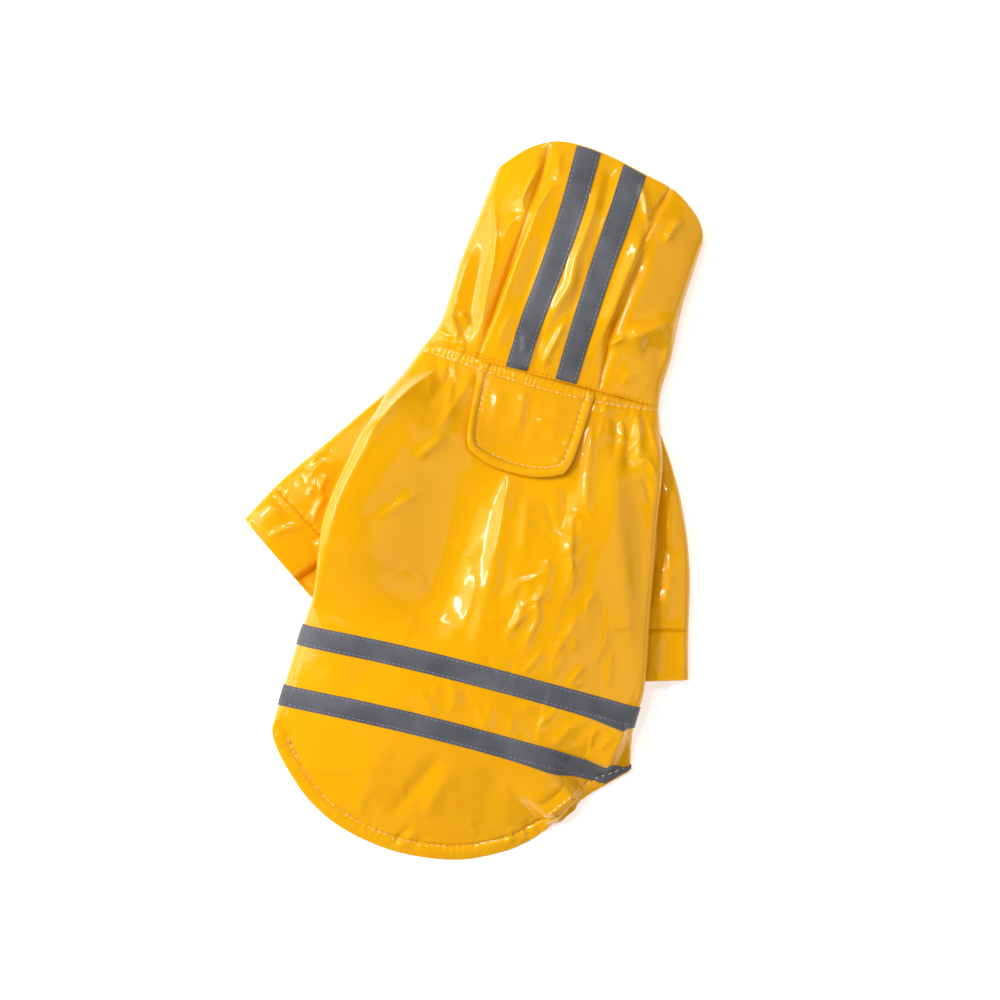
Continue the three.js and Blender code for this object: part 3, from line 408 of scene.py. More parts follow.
@dataclass
class Tube:
    """A flattened tube of cloth: an upper layer over two side folds, and a flat lower layer."""

    left: Array
    right: Array
    spine: Array
    end: Array
    lower_share: float
    flare: float
    relief: Relief

    def __post_init__(self) -> None:
        """Prepares the end curve."""
        self.curve = spline(self.end, 1200)

    def fold(self, side: int, v: Array) -> Array:
        """Columns y, x, lift of one side fold at v."""
        table = self.left if side < 0 else self.right
        return rows_at(table, mix(table[0, 0], table[-1, 0], v))

    def roll(self, v: Array) -> Array:
        """Radius of the side folds at v."""
        return rows_at(self.spine, v)[..., 2]

    def width(self, v: Array) -> Array:
        """Distance between the folds at v."""
        return self.fold(1, v)[..., 1] - self.fold(-1, v)[..., 1]

    def plan(self, u: Array, v: Array) -> Array:
        """Plan of the upper layer: the patch between the folds, the neck line and the end curve."""
        u, v = np.broadcast_arrays(np.asarray(u, float), np.asarray(v, float))
        l, r = self.fold(-1, v)[..., [1, 0]], self.fold(1, v)[..., [1, 0]]
        l0, r0 = self.left[0, [1, 0]], self.right[0, [1, 0]]
        l1, r1 = self.left[-1, [1, 0]], self.right[-1, [1, 0]]
        at = np.clip(u, 0, 1) * (len(self.curve) - 1)
        knots = np.arange(len(self.curve))
        e = np.stack([np.interp(at, knots, self.curve[:, k]) for k in (0, 1)], axis=-1)
        u, v = u[..., None], v[..., None]
        corners = (1 - u) * (1 - v) * l0 + u * (1 - v) * r0 + (1 - u) * v * l1 + u * v * r1
        return (1 - v) * mix(l0, r0, u) + v * e + mix(l, r, u) - corners

    def leaving(self, side: int, v: Array) -> tuple[Array, Array]:
        """Plan distance for one unit of u beside a fold, and the way in which the upper layer leaves it."""
        step = 0.02
        edge = self.plan(0.0 if side < 0 else 1.0, v)
        away = self.plan(step if side < 0 else 1 - step, v) - edge
        size = np.linalg.norm(away, axis=-1)
        return size / step, away / size[..., None]

    def arch(self, u: Array, v: Array) -> tuple[Array, Array]:
        """Height of the upper layer at the folds' tops, and what the crown adds."""
        row = rows_at(self.spine, v)
        edge = mix(self.fold(-1, v)[..., 2], self.fold(1, v)[..., 2], u) + 2 * row[..., 2]
        return edge, (row[..., 1] - edge) * (1 - np.abs(2 * u - 1) ** CROWN_POWER)

    def upper(self, u: Array, v: Array) -> Array:
        """Points of the smooth upper layer."""
        u, v = np.broadcast_arrays(np.asarray(u, float), np.asarray(v, float))
        edge, rise = self.arch(u, v)
        return np.concatenate([self.plan(u, v), (edge + rise)[..., None]], axis=-1)

    def round(self, side: int, turn: Array, v: Array) -> Array:
        """Points round a side fold: turn runs from -1, underneath, to 1, on top."""
        turn, v = np.broadcast_arrays(np.asarray(turn, float), np.asarray(v, float))
        roll = self.roll(v)
        angle = turn * math.pi / 2
        inset = roll * (1 - np.cos(angle))
        fold = self.fold(side, v)
        speed, direction = self.leaving(side, v)
        top = (1 + np.sin(angle)) / 2
        dx, dy = mix(-side, direction[..., 0], top), direction[..., 1] * top
        u = inset / speed if side < 0 else 1 - inset / speed
        edge, rise = self.arch(u, v)
        lift = np.where(turn > 0, edge - 2 * roll, fold[..., 2])
        z = lift + roll * (1 + np.sin(angle)) + np.where(turn > 0, rise, 0)
        return np.stack([fold[..., 1] + inset * dx, fold[..., 0] + inset * dy, z], axis=-1)

    def top_start(self, side: int, v: Array) -> Array:
        """u where the turn of a side fold ends and the open upper layer begins."""
        share = self.roll(v) / self.leaving(side, v)[0]
        return share if side < 0 else 1 - share

    def lower_end(self, u: Array) -> Array:
        """The lower layer's length at u, as a share of the side fold's."""
        return self.lower_share + (1 - self.lower_share) * np.abs(2 * u - 1) ** self.flare

    def lower_plan(self, u: Array, v: Array) -> Array:
        """Plan of the lower layer: straight lines from fold to fold."""
        return mix(self.fold(-1, v)[..., [1, 0]], self.fold(1, v)[..., [1, 0]], np.asarray(u)[..., None])

    def wrap(self, side: int, inset: Array, v: Array) -> Array:
        """Points of the underside beside a fold."""
        share = inset / self.width(v)
        p = self.lower_plan(share if side < 0 else 1 - share, v)
        return np.concatenate([p, self.fold(side, v)[..., 2:3]], axis=-1)

    def turned_share(self, turn: Array, v: Array) -> Array:
        """How much of a fold column's length there is, as the lower layer is shorter than the upper one."""
        lower = self.lower_end(self.roll(v) / np.abs(self.width(v)))
        return np.where(turn >= 0, 1.0, mix(1.0, lower, 1 - np.cos(turn * math.pi / 2)))

    def station(self, share: Callable[[Array], Array], line: Callable[[Array], Array], count: int) -> Array:
        """v at which columns of the upper layer pass a line y(x), by halving.

        Args:
            share: gives the columns' u at each v.
            line: y of the line at x.
            count: number of columns.

        Returns:
            One v for each column.
        """
        low, high = np.zeros(count), np.ones(count)
        way = np.sign(self.left[-1, 0] - self.left[0, 0])
        for _ in range(HALVINGS):
            v = (low + high) / 2
            p = self.plan(share(v), v)
            short = (p[..., 1] - line(p[..., 0])) * way < 0
            low, high = np.where(short, v, low), np.where(short, high, v)
        return (low + high) / 2

    def share_of(self, x: Array, y: Array) -> tuple[Array, Array]:
        """u and v of plan points, by Newton's method."""
        u = np.full_like(x, 0.5)
        v = np.clip((y - self.left[0, 0]) / (self.left[-1, 0] - self.left[0, 0]), 0, 1)
        step = 1e-3
        for _ in range(12):
            p = self.plan(u, v)
            pu = (self.plan(u + step, v) - p) / step
            pv = (self.plan(u, v + step) - p) / step
            det = pu[..., 0] * pv[..., 1] - pu[..., 1] * pv[..., 0]
            ex, ey = x - p[..., 0], y - p[..., 1]
            u = u + (ex * pv[..., 1] - ey * pv[..., 0]) / det
            v = v + (ey * pu[..., 0] - ex * pu[..., 1]) / det
        return u, v

    def dressed(self, grid: Array, side: int, weight: Array | float = 1.0,
                extra: Array | float = 0.0) -> Array:
        """A grid of the tube moved out along its normals by the relief at its plan points."""
        height = self.relief(grid[..., 0], grid[..., 1]) * weight + extra
        return grid + normals_of(grid, side) * height[..., None]


# Meshes


@dataclass
class Plan:
    """Ties the pattern's plan to the row's frame."""

    shift: Array

    @classmethod
    def from_frame(cls) -> "Plan":
        """Reads the shift from the place of the first press stud."""
        node, x, y = FIRST_STUD
        low, high = (np.array(corner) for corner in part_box(node))
        middle = (low + high) / 2 / MM
        return cls(np.array([middle[0] - x, middle[1] - y, 0.0]))

    def metres(self, points: Array) -> Array:
        """Plan millimetres to the row's metres."""
        return (points + self.shift) * MM


PLAN = Plan.from_frame()


def make_object(
    name: str,
    points: Array,
    faces: Sequence[Array],
    slots: Sequence[int],
    materials: Sequence[bpy.types.Material],
    uv: Array | None = None,
) -> bpy.types.Object:
    """Puts points and faces into a smooth mesh object that stands at the origin.

    Args:
        name: the piece's name.
        points: (n, 3) in plan millimetres.
        faces: arrays of vertex numbers, one array for each number of corners or material.
        slots: material slot of each array.
        materials: the slots.
        uv: (n, 2) in millimetres, one for each vertex.

    Returns:
        The new object, linked to the scene.
    """
    mesh = bpy.data.meshes.new(name)
    mesh.vertices.add(len(points))
    mesh.vertices.foreach_set("co", PLAN.metres(points).astype(np.float32).ravel())
    corners = np.concatenate([f.ravel() for f in faces]).astype(np.int32)
    counts = np.concatenate([np.full(len(f), f.shape[1]) for f in faces])
    mesh.loops.add(len(corners))
    mesh.loops.foreach_set("vertex_index", corners)
    mesh.polygons.add(len(counts))
    mesh.polygons.foreach_set("loop_start", (np.cumsum(counts) - counts).astype(np.int32))
    slot = np.concatenate([np.full(len(f), s) for f, s in zip(faces, slots)]).astype(np.int32)
    for material in materials:
        mesh.materials.append(material)
    mesh.polygons.foreach_set("material_index", slot)
    if uv is not None:
        layer = mesh.uv_layers.new(name="cloth")
        layer.data.foreach_set("uv", (uv[corners] * MM).astype(np.float32).ravel())
    mesh.update(calc_edges=True)
    mesh.validate()
    mesh.shade_smooth()
    mesh.set_sharp_from_angle(angle=math.radians(SHARP_ANGLE))
    obj = bpy.data.objects.new(name, mesh)
    bpy.context.scene.collection.objects.link(obj)
    return obj


def shell(
    name: str,
    grid: Array,
    materials: Sequence[bpy.types.Material],
    *,
    side: int,
    ring: bool = False,
    thickness: float = SHELL,
    floor: float = 0.03,
    free: tuple[bool, bool, bool, bool] = (True, True, True, True),
) -> bpy.types.Object:
    """A closed thin shell of cloth whose face side is the grid.

    Formula: the inner layer lies one thickness down the normals, on every second point, and the rim between
    the two layers is half a circle round the wall's middle.

    Args:
        name: the piece's name.
        grid: (rows, columns, 3) with odd rows, and odd columns unless it is a ring.
        materials: face side, and back.
        side: 1 or -1, so that the normals point out of the face side.
        ring: True if the last column meets the first.
        thickness: wall, in millimetres.
        floor: no point lies lower than this.
        free: whether the first and last row and the first and last column are hems, which are round. The
            others are sewn to a neighbour, and square.

    Returns:
        The piece.
    """
    rows, cols = grid.shape[:2]
    normal = normals_of(grid, side, ring)
    inner = (grid - normal * thickness)[::2, ::2]
    across = np.linalg.norm(np.diff(grid, axis=1), axis=-1).mean(axis=0)
    along = np.linalg.norm(np.diff(grid, axis=0), axis=-1).mean(axis=1)
    us, vs = np.append(0, np.cumsum(across))[:cols], np.append(0, np.cumsum(along))
    uv = np.stack(np.meshgrid(us, vs), axis=-1)
    number = np.arange(rows * cols).reshape(rows, cols)
    half = rows * cols + np.arange(inner.shape[0] * inner.shape[1]).reshape(inner.shape[:2])

    def quads(n: Array, flip: bool) -> Array:
        """The quads of a grid of vertex numbers, whose last column meets the first in a ring."""
        if ring:
            n = np.concatenate([n, n[:, :1]], axis=1)
        q = np.stack([n[:-1, :-1], n[:-1, 1:], n[1:, 1:], n[1:, :-1]], axis=-1).reshape(-1, 4)
        return q[:, ::-1] if flip else q

    points = [grid.reshape(-1, 3), inner.reshape(-1, 3)]
    uvs = [uv.reshape(-1, 2), uv[::2, ::2].reshape(-1, 2)]
    faces = [quads(number, side < 0), quads(half, side > 0)]
    slots = [0, 1]
    base = sum(len(p) for p in points)

    def edge_loops() -> list[tuple[Array, Array, Array]]:
        """Fine loop, its inward neighbours and the coarse loop, each as grid indices, closed end to start."""
        if ring:
            j = np.append(np.arange(cols), 0)
            k = np.append(np.arange(0, cols, 2), 0)
            top = (np.stack([0 * j, j], 1), np.stack([0 * j + 1, j], 1), half[0, k // 2])
            last = rows - 1
            end = (np.stack([0 * j + last, j], 1), np.stack([0 * j + last - 1, j], 1), half[-1, k // 2])
            return [top, tuple(part[::-1] for part in end)]
        i, j = np.arange(rows), np.arange(cols)
        line = np.concatenate([
            np.stack([0 * j, j], 1)[:-1],
            np.stack([i, 0 * i + cols - 1], 1)[:-1],
            np.stack([0 * j + rows - 1, j[::-1]], 1)[:-1],
            np.stack([i[::-1], 0 * i], 1),
        ])
        inward = np.stack([np.clip(line[:, 0], 1, rows - 2), np.clip(line[:, 1], 1, cols - 2)], 1)
        coarse = half[line[::2, 0] // 2, line[::2, 1] // 2]
        return [(line, inward, coarse)]

    for line, inward, coarse in edge_loops():
        p, q = grid[line[:, 0], line[:, 1]], grid[inward[:, 0], inward[:, 1]]
        n = normal[line[:, 0], line[:, 1]]
        hem = np.ones(len(line))
        hem[(line[:, 0] == 0) & (not free[0])] = 0
        hem[(line[:, 0] == rows - 1) & (not free[1])] = 0
        if not ring:
            hem[(line[:, 1] == 0) & (not free[2])] = 0
            hem[(line[:, 1] == cols - 1) & (not free[3])] = 0
        out = p - q
        out -= n * (out * n).sum(axis=1, keepdims=True)
        out *= hem[:, None] / np.maximum(np.linalg.norm(out, axis=1, keepdims=True), 1e-9)
        loops = [number[line[:, 0], line[:, 1]]]
        for angle in (math.pi / 4, math.pi / 2, 3 * math.pi / 4):
            down, away = thickness / 2 * (1 - math.cos(angle)), thickness / 2 * math.sin(angle)
            fresh = (p - n * down + out * away)[:-1]
            points.append(fresh)
            uvs.append(uv[line[:-1, 0], line[:-1, 1]])
            ids = base + np.arange(len(fresh))
            base += len(fresh)
            loops.append(np.append(ids, ids[0]))
        for a, b in zip(loops[:-1], loops[1:]):
            strip = np.stack([a[:-1], b[:-1], b[1:], a[1:]], axis=1)
            faces.append(strip if side > 0 else strip[:, ::-1])
            slots.append(0)
        a = loops[-1]
        last = np.stack([a[:-2:2], coarse[:-1], coarse[1:], a[2::2], a[1:-1:2]], axis=1)
        faces.append(last if side > 0 else last[:, ::-1])
        slots.append(0)
    everything = np.concatenate(points)
    everything[:, 2] = np.maximum(everything[:, 2], floor)
    return make_object(name, everything, faces, slots, materials, np.concatenate(uvs))


@dataclass(frozen=True)
class StitchKind:
    """One kind of stitch: how long it shows, from one to the next, and how thick the thread is."""

    length: float = 2.1
    pitch: float = 3.0
    width: float = 0.5
    height: float = 0.34
    sink: float = 0.02


TOPSTITCH = StitchKind()
BELLY_STITCH = StitchKind(length=2.6, pitch=3.8, width=0.55, height=0.36)
TAPE_STITCH = StitchKind(length=1.6, pitch=2.5, width=0.4, height=0.26)
SEWN_IN = (False, True, False, False)  # for a shell's free edges: only the last row is a hem


def stitches(name: str, lines: Sequence[tuple[Path, Array]], kind: StitchKind, material: bpy.types.Material,
             seed: int, face: int = 1) -> bpy.types.Object:
    """Stitches along lines over a surface, as one mesh of small pods.

    Formula: each pod is a ring of eight sides swept along the line, its radius the root of 1 minus the
    place along it to the fourth power, laid on the nearest surface point's tangent plane.

    Args:
        name: the piece's name.
        lines: plan lines, each with the grid of the surface that it runs over.
        kind: the stitch.
        material: the thread.
        seed: for the stitches' small unevenness.
        face: 1 where the surfaces' upper faces take the stitches, and -1 for their undersides.

    Returns:
        The piece.
    """
    rng = np.random.default_rng(seed)
    s = np.array([-1.0, -0.86, -0.45, 0.0, 0.45, 0.86, 1.0])
    radius = np.sqrt(1 - 0.92 * s**4)
    radius[[0, -1]] = 0.25
    angle = np.arange(POD_SIDES) / POD_SIDES * 2 * math.pi
    pods, offset, faces = [], 0, []
    for path, surface in lines:
        count = max(int(path.length / kind.pitch), 1)
        at = (np.arange(count) + 0.5) / count * (len(path.points) - 1)
        knots = np.arange(len(path.points))
        xy = np.stack([np.interp(at, knots, path.points[:, k]) for k in (0, 1)], axis=1)
        d = np.stack([np.interp(at, knots, np.gradient(path.points[:, k])) for k in (0, 1)], axis=1)
        point, normal = on_surface(surface, xy, face)
        tangent = np.concatenate([d, np.zeros((count, 1))], axis=1)
        tangent -= normal * (tangent * normal).sum(axis=1, keepdims=True)
        tangent /= np.linalg.norm(tangent, axis=1, keepdims=True)
        across = np.cross(normal, tangent)
        turn = rng.normal(0, 0.06, count)[:, None]
        tangent, across = tangent + across * turn, across - tangent * turn
        long = kind.length * rng.uniform(0.9, 1.08, count)[:, None, None, None] / 2
        ring = radius[None, :, None, None]
        wide = np.cos(angle)[None, None, :, None] * kind.width / 2
        high = ring * np.sin(angle)[None, None, :, None] * kind.height / 2 - kind.sink
        body = (
            point[:, None, None, :]
            + tangent[:, None, None, :] * s[None, :, None, None] * long
            + across[:, None, None, :] * ring * wide
            + normal[:, None, None, :] * high
        )
        pods.append(body.reshape(-1, 3))
        per = len(s) * POD_SIDES
        number = np.arange(per).reshape(len(s), POD_SIDES)
        number = np.concatenate([number, number[:, :1]], axis=1)
        quad = np.stack([number[:-1, :-1], number[:-1, 1:], number[1:, 1:], number[1:, :-1]], axis=-1)
        quad = quad.reshape(-1, 4)
        cap = np.stack([np.arange(POD_SIDES)[::-1], per - POD_SIDES + np.arange(POD_SIDES)])
        starts = offset + np.arange(count)[:, None, None] * per
        faces.append((quad[None] + starts).reshape(-1, 4))
        faces.append((cap[None] + starts).reshape(-1, POD_SIDES))
        offset += count * per
    points = np.concatenate(pods)
    faces = [f[:, ::-1] for f in faces]
    return make_object(name, points, faces, [0] * len(faces), [material])


def on_surface(surface: Array, xy: Array, face: int) -> tuple[Array, Array]:
    """Points and normals of a surface grid over plan points.

    Formula: the grid point that is nearest in plan and looks the right way, then along its tangent plane.
    """
    flip = 1 if normals_of(surface, 1)[..., 2].mean() > 0 else -1
    normal = normals_of(surface, flip * face).reshape(-1, 3)
    points = surface.reshape(-1, 3)
    turned = normal[:, 2] * face > 0.15
    normal, points = normal[turned], points[turned]
    away = (points[None, :, 0] - xy[:, :1]) ** 2 + (points[None, :, 1] - xy[:, 1:]) ** 2
    best = np.argmin(away, axis=1)
    p, n = points[best], normal[best]
    z = p[:, 2] - ((xy[:, 0] - p[:, 0]) * n[:, 0] + (xy[:, 1] - p[:, 1]) * n[:, 1]) / n[:, 2]
    return np.concatenate([xy, z[:, None]], axis=1), n


# Finishes


def linear(hex_colour: str) -> tuple[float, float, float, float]:
    """An sRGB hex colour as linear RGBA: the standard curve on each of the three parts."""
    parts = [int(hex_colour[i : i + 2], 16) / 255 for i in (1, 3, 5)]
    rgb = [c / 12.92 if c <= 0.04045 else ((c + 0.055) / 1.055) ** 2.4 for c in parts]
    return (*rgb, 1.0)


Socket = bpy.types.NodeSocket
WAVE_TURN = 6.28  # a wave texture's scale counts a full turn for each band


def add_node(tree: bpy.types.NodeTree, kind: str, values: dict | None = None,
             links: Sequence[tuple[Socket, "int | str"]] = (), **settings: object) -> bpy.types.Node:
    """Adds a shader node, with settings as attributes, values for sockets and links into them."""
    node = tree.nodes.new(kind)
    for key, value in settings.items():
        setattr(node, key, value)
    set_sockets(node, values or {})
    for source, key in links:
        tree.links.new(source, node.inputs[key])
    return node


def set_sockets(node: bpy.types.Node, values: dict) -> None:
    """Sets constants on a node's own sockets."""
    for key, value in values.items():
        node.inputs[key].default_value = value


@dataclass
class Recipe:
    """A material in the making: a Principled shader and the nodes that feed it, in object coordinates."""

    material: bpy.types.Material
    tree: bpy.types.NodeTree
    shader: bpy.types.Node
    place: Socket

    @classmethod
    def start(cls, name: str, values: dict) -> "Recipe":
        """A bare shader with its constants."""
        material = bpy.data.materials.new(name)
        material.use_nodes = True
        tree = material.node_tree
        tree.nodes.clear()
        out = tree.nodes.new("ShaderNodeOutputMaterial")
        shader = tree.nodes.new("ShaderNodeBsdfPrincipled")
        tree.links.new(shader.outputs[0], out.inputs[0])
        set_sockets(shader, values)
        return cls(material, tree, shader, add_node(tree, "ShaderNodeTexCoord").outputs["Object"])

    def noise(self, size_mm: float, detail: float = 2.0) -> Socket:
        """Soft lumps of about the given size."""
        values = {"Scale": 1 / (size_mm * MM), "Detail": detail}
        return add_node(self.tree, "ShaderNodeTexNoise", values, [(self.place, "Vector")]).outputs[0]

    def bands(self, size_mm: float, distortion: float = 0.0, direction: str = "X") -> Socket:
        """Even bands of about the given size."""
        values = {"Scale": 1 / (size_mm * MM) / WAVE_TURN, "Distortion": distortion}
        node = add_node(self.tree, "ShaderNodeTexWave", values, [(self.place, "Vector")],
                        bands_direction=direction)
        return node.outputs["Fac"]

    def mixed(self, first: str, second: str, share: Socket) -> None:
        """Base colour: from the first hex colour to the second one, by share."""
        colours = {6: linear(first), 7: linear(second)}
        node = add_node(self.tree, "ShaderNodeMix", colours, [(share, 0)], data_type="RGBA")
        self.tree.links.new(node.outputs[2], self.shader.inputs["Base Color"])

    def bump(self, height: Socket, strength: float, depth_mm: float, below: Socket | None = None) -> Socket:
        """Bumps the surface by a height, over an earlier bump if there is one."""
        links = [(height, "Height")]
        if below is not None:
            links.append((below, "Normal"))
        values = {"Strength": strength, "Distance": depth_mm * MM}
        normal = add_node(self.tree, "ShaderNodeBump", values, links).outputs[0]
        self.tree.links.new(normal, self.shader.inputs["Normal"])
        return normal


@dataclass(frozen=True)
class CoatedCloth:
    """Knitted polyester with a glossy polyurethane coating, cast on release paper, so smooth and mirror-like.

    The eye sees a deep saturated yellow, a clear skin of gloss and a faint unevenness where the knit prints
    through.
    """

    name: str = "coated_cloth_yellow"
    body: str = "#EDAC03"
    deep: str = "#E59E01"
    sheen: str = "#FFB52E"  # the pigmented layer's own
    drift_mm: float = 45.0
    print_through_mm: float = 1.1  # the knit is finer, but would not show at this size
    undulation_mm: float = 9.0
    roughness: float = 0.3

    def build(self) -> bpy.types.Material:
        """The material: a slow drift between two yellows, two scales of bump and a clear coat."""
        recipe = Recipe.start(self.name, {
            "Roughness": self.roughness, "Coat Weight": 0.55, "Coat Roughness": 0.1, "Coat IOR": 1.45,
            "Specular IOR Level": 0.3, "Specular Tint": linear(self.sheen),
        })
        recipe.mixed(self.body, self.deep, recipe.noise(self.drift_mm))
        slow = recipe.bump(recipe.noise(self.undulation_mm, 1.5), 1.0, 0.25)
        recipe.bump(recipe.noise(self.print_through_mm), 1.0, 0.022, below=slow)
        recipe.tree.links.new(slow, recipe.shader.inputs["Coat Normal"])
        return recipe.material


@dataclass(frozen=True)
class ClothBack:
    """The coated cloth's back: a fine matte knit in the same yellow, a little paler."""

    name: str = "cloth_back_knit"
    colour: str = "#F0AE2A"
    loop_mm: float = 0.9

    def build(self) -> bpy.types.Material:
        """The material: rows of loops as a wave bump, and no gloss."""
        recipe = Recipe.start(self.name, {"Base Color": linear(self.colour), "Roughness": 0.8})
        recipe.bump(recipe.bands(self.loop_mm, distortion=2.0), 0.5, 0.1)
        return recipe.material


@dataclass(frozen=True)
class ReflectiveTape:
    """Woven tape faced with glass beads: a matte slate grey with a fine sparkle and soft cloudy patches."""

    name: str = "reflective_tape_grey"
    light: str = "#5D5E64"
    dark: str = "#484950"
    bead_mm: float = 0.5  # real beads are under 0.1 mm; these are as coarse as shows
    cloud_mm: float = 16.0
    bead_share: float = 0.28

    def build(self) -> bpy.types.Material:
        """The material: cloudy greys, a bead grain in colour and bump, low gloss."""
        recipe = Recipe.start(self.name, {"Roughness": 0.5, "Specular IOR Level": 0.4})
        cloud, bead = recipe.noise(self.cloud_mm, 3.0), recipe.noise(self.bead_mm, 1.0)
        both = add_node(recipe.tree, "ShaderNodeMix", {0: self.bead_share}, [(cloud, 2), (bead, 3)],
                        data_type="FLOAT")
        spread = add_node(recipe.tree, "ShaderNodeMapRange", {1: 0.36, 2: 0.64}, [(both.outputs[0], 0)])
        recipe.mixed(self.dark, self.light, spread.outputs[0])
        recipe.bump(bead, 0.6, 0.05)
        return recipe.material


@dataclass(frozen=True)
class Thread:
    """Polyester sewing thread: two twisted plies with a soft sheen."""

    name: str
    colour: str
    ply_mm: float = 0.45

    def build(self) -> bpy.types.Material:
        """The material: the plies' slanted ridges as a wave bump."""
        recipe = Recipe.start(self.name, {
            "Base Color": linear(self.colour), "Roughness": 0.5, "Sheen Weight": 0.3,
        })
        recipe.bump(recipe.bands(self.ply_mm, direction="DIAGONAL"), 0.5, 0.05)
        return recipe.material


@dataclass(frozen=True)
class StudPlastic:
    """Injection-moulded acetal, as on a press stud: smooth and a little waxy."""

    name: str = "stud_acetal_yellow"
    colour: str = "#DDA224"
    grain_mm: float = 0.6

    def build(self) -> bpy.types.Material:
        """The material: one colour with a slight moulding grain."""
        recipe = Recipe.start(self.name, {"Base Color": linear(self.colour), "Roughness": 0.35})
        recipe.bump(recipe.noise(self.grain_mm), 0.3, 0.02)
        return recipe.material


@dataclass(frozen=True)
class PaleCard:
    """The floor: smooth white card, lit a little from below as on a light table, so shadows stay faint."""

    name: str = "floor_pale_card"
    colour: str = "#FBFBFB"
    glow: float = 0.4
    grain_mm: float = 2.5

    def build(self) -> bpy.types.Material:
        """The material: near white with a fine tooth, no gloss and a faint glow."""
        recipe = Recipe.start(self.name, {
            "Base Color": linear(self.colour), "Roughness": 0.9,
            "Emission Color": linear("#FFFFFF"), "Emission Strength": self.glow,
        })
        recipe.bump(recipe.noise(self.grain_mm), 0.1, 0.1)
        return recipe.material


@dataclass
class Finishes:
    """All the materials of the coat."""

    cloth: bpy.types.Material
    back: bpy.types.Material
    tape: bpy.types.Material
    pale_thread: bpy.types.Material
    tape_thread: bpy.types.Material
    stud: bpy.types.Material

    @classmethod
    def make(cls) -> "Finishes":
        """Builds each finish once."""
        return cls(
            CoatedCloth().build(),
            ClothBack().build(),
            ReflectiveTape().build(),
            Thread("thread_pale", "#F0D6AA").build(),
            Thread("thread_grey", "#7E818B").build(),
            StudPlastic().build(),
        )


# Creases and sewn lines of the body

NECK_STITCH = ((-62.5, 2.6), (-45, 1.6), (-25, -0.2), (0, -1.2), (20, -1.2), (35, -0.2), (48, 1.4), (61, 2.4))
NECK_SEAM_LINE = ((-61, 7.4), (-50, 8.2), (-36, 7.0), (-20, 5.8), (0, 5.0), (30, 4.6), (60, 4.8))
HEM_INSET = 6.8


def hem_line() -> tuple[tuple[float, float], ...]:
    """The tail's topstitch: the hem moved in by its width, from the right corner round to the left one."""
    curve = spline(TAIL_HEM, 60)
    d = np.gradient(curve, axis=0)
    d /= np.linalg.norm(d, axis=1, keepdims=True)
    inset = mix(HEM_INSET, 5.4, ease((curve[:, 0] - 40) / 30))[:, None]
    inside = curve + np.stack([-d[:, 1], d[:, 0]], axis=1) * inset
    return tuple(map(tuple, inside[2:-3:3][::-1]))


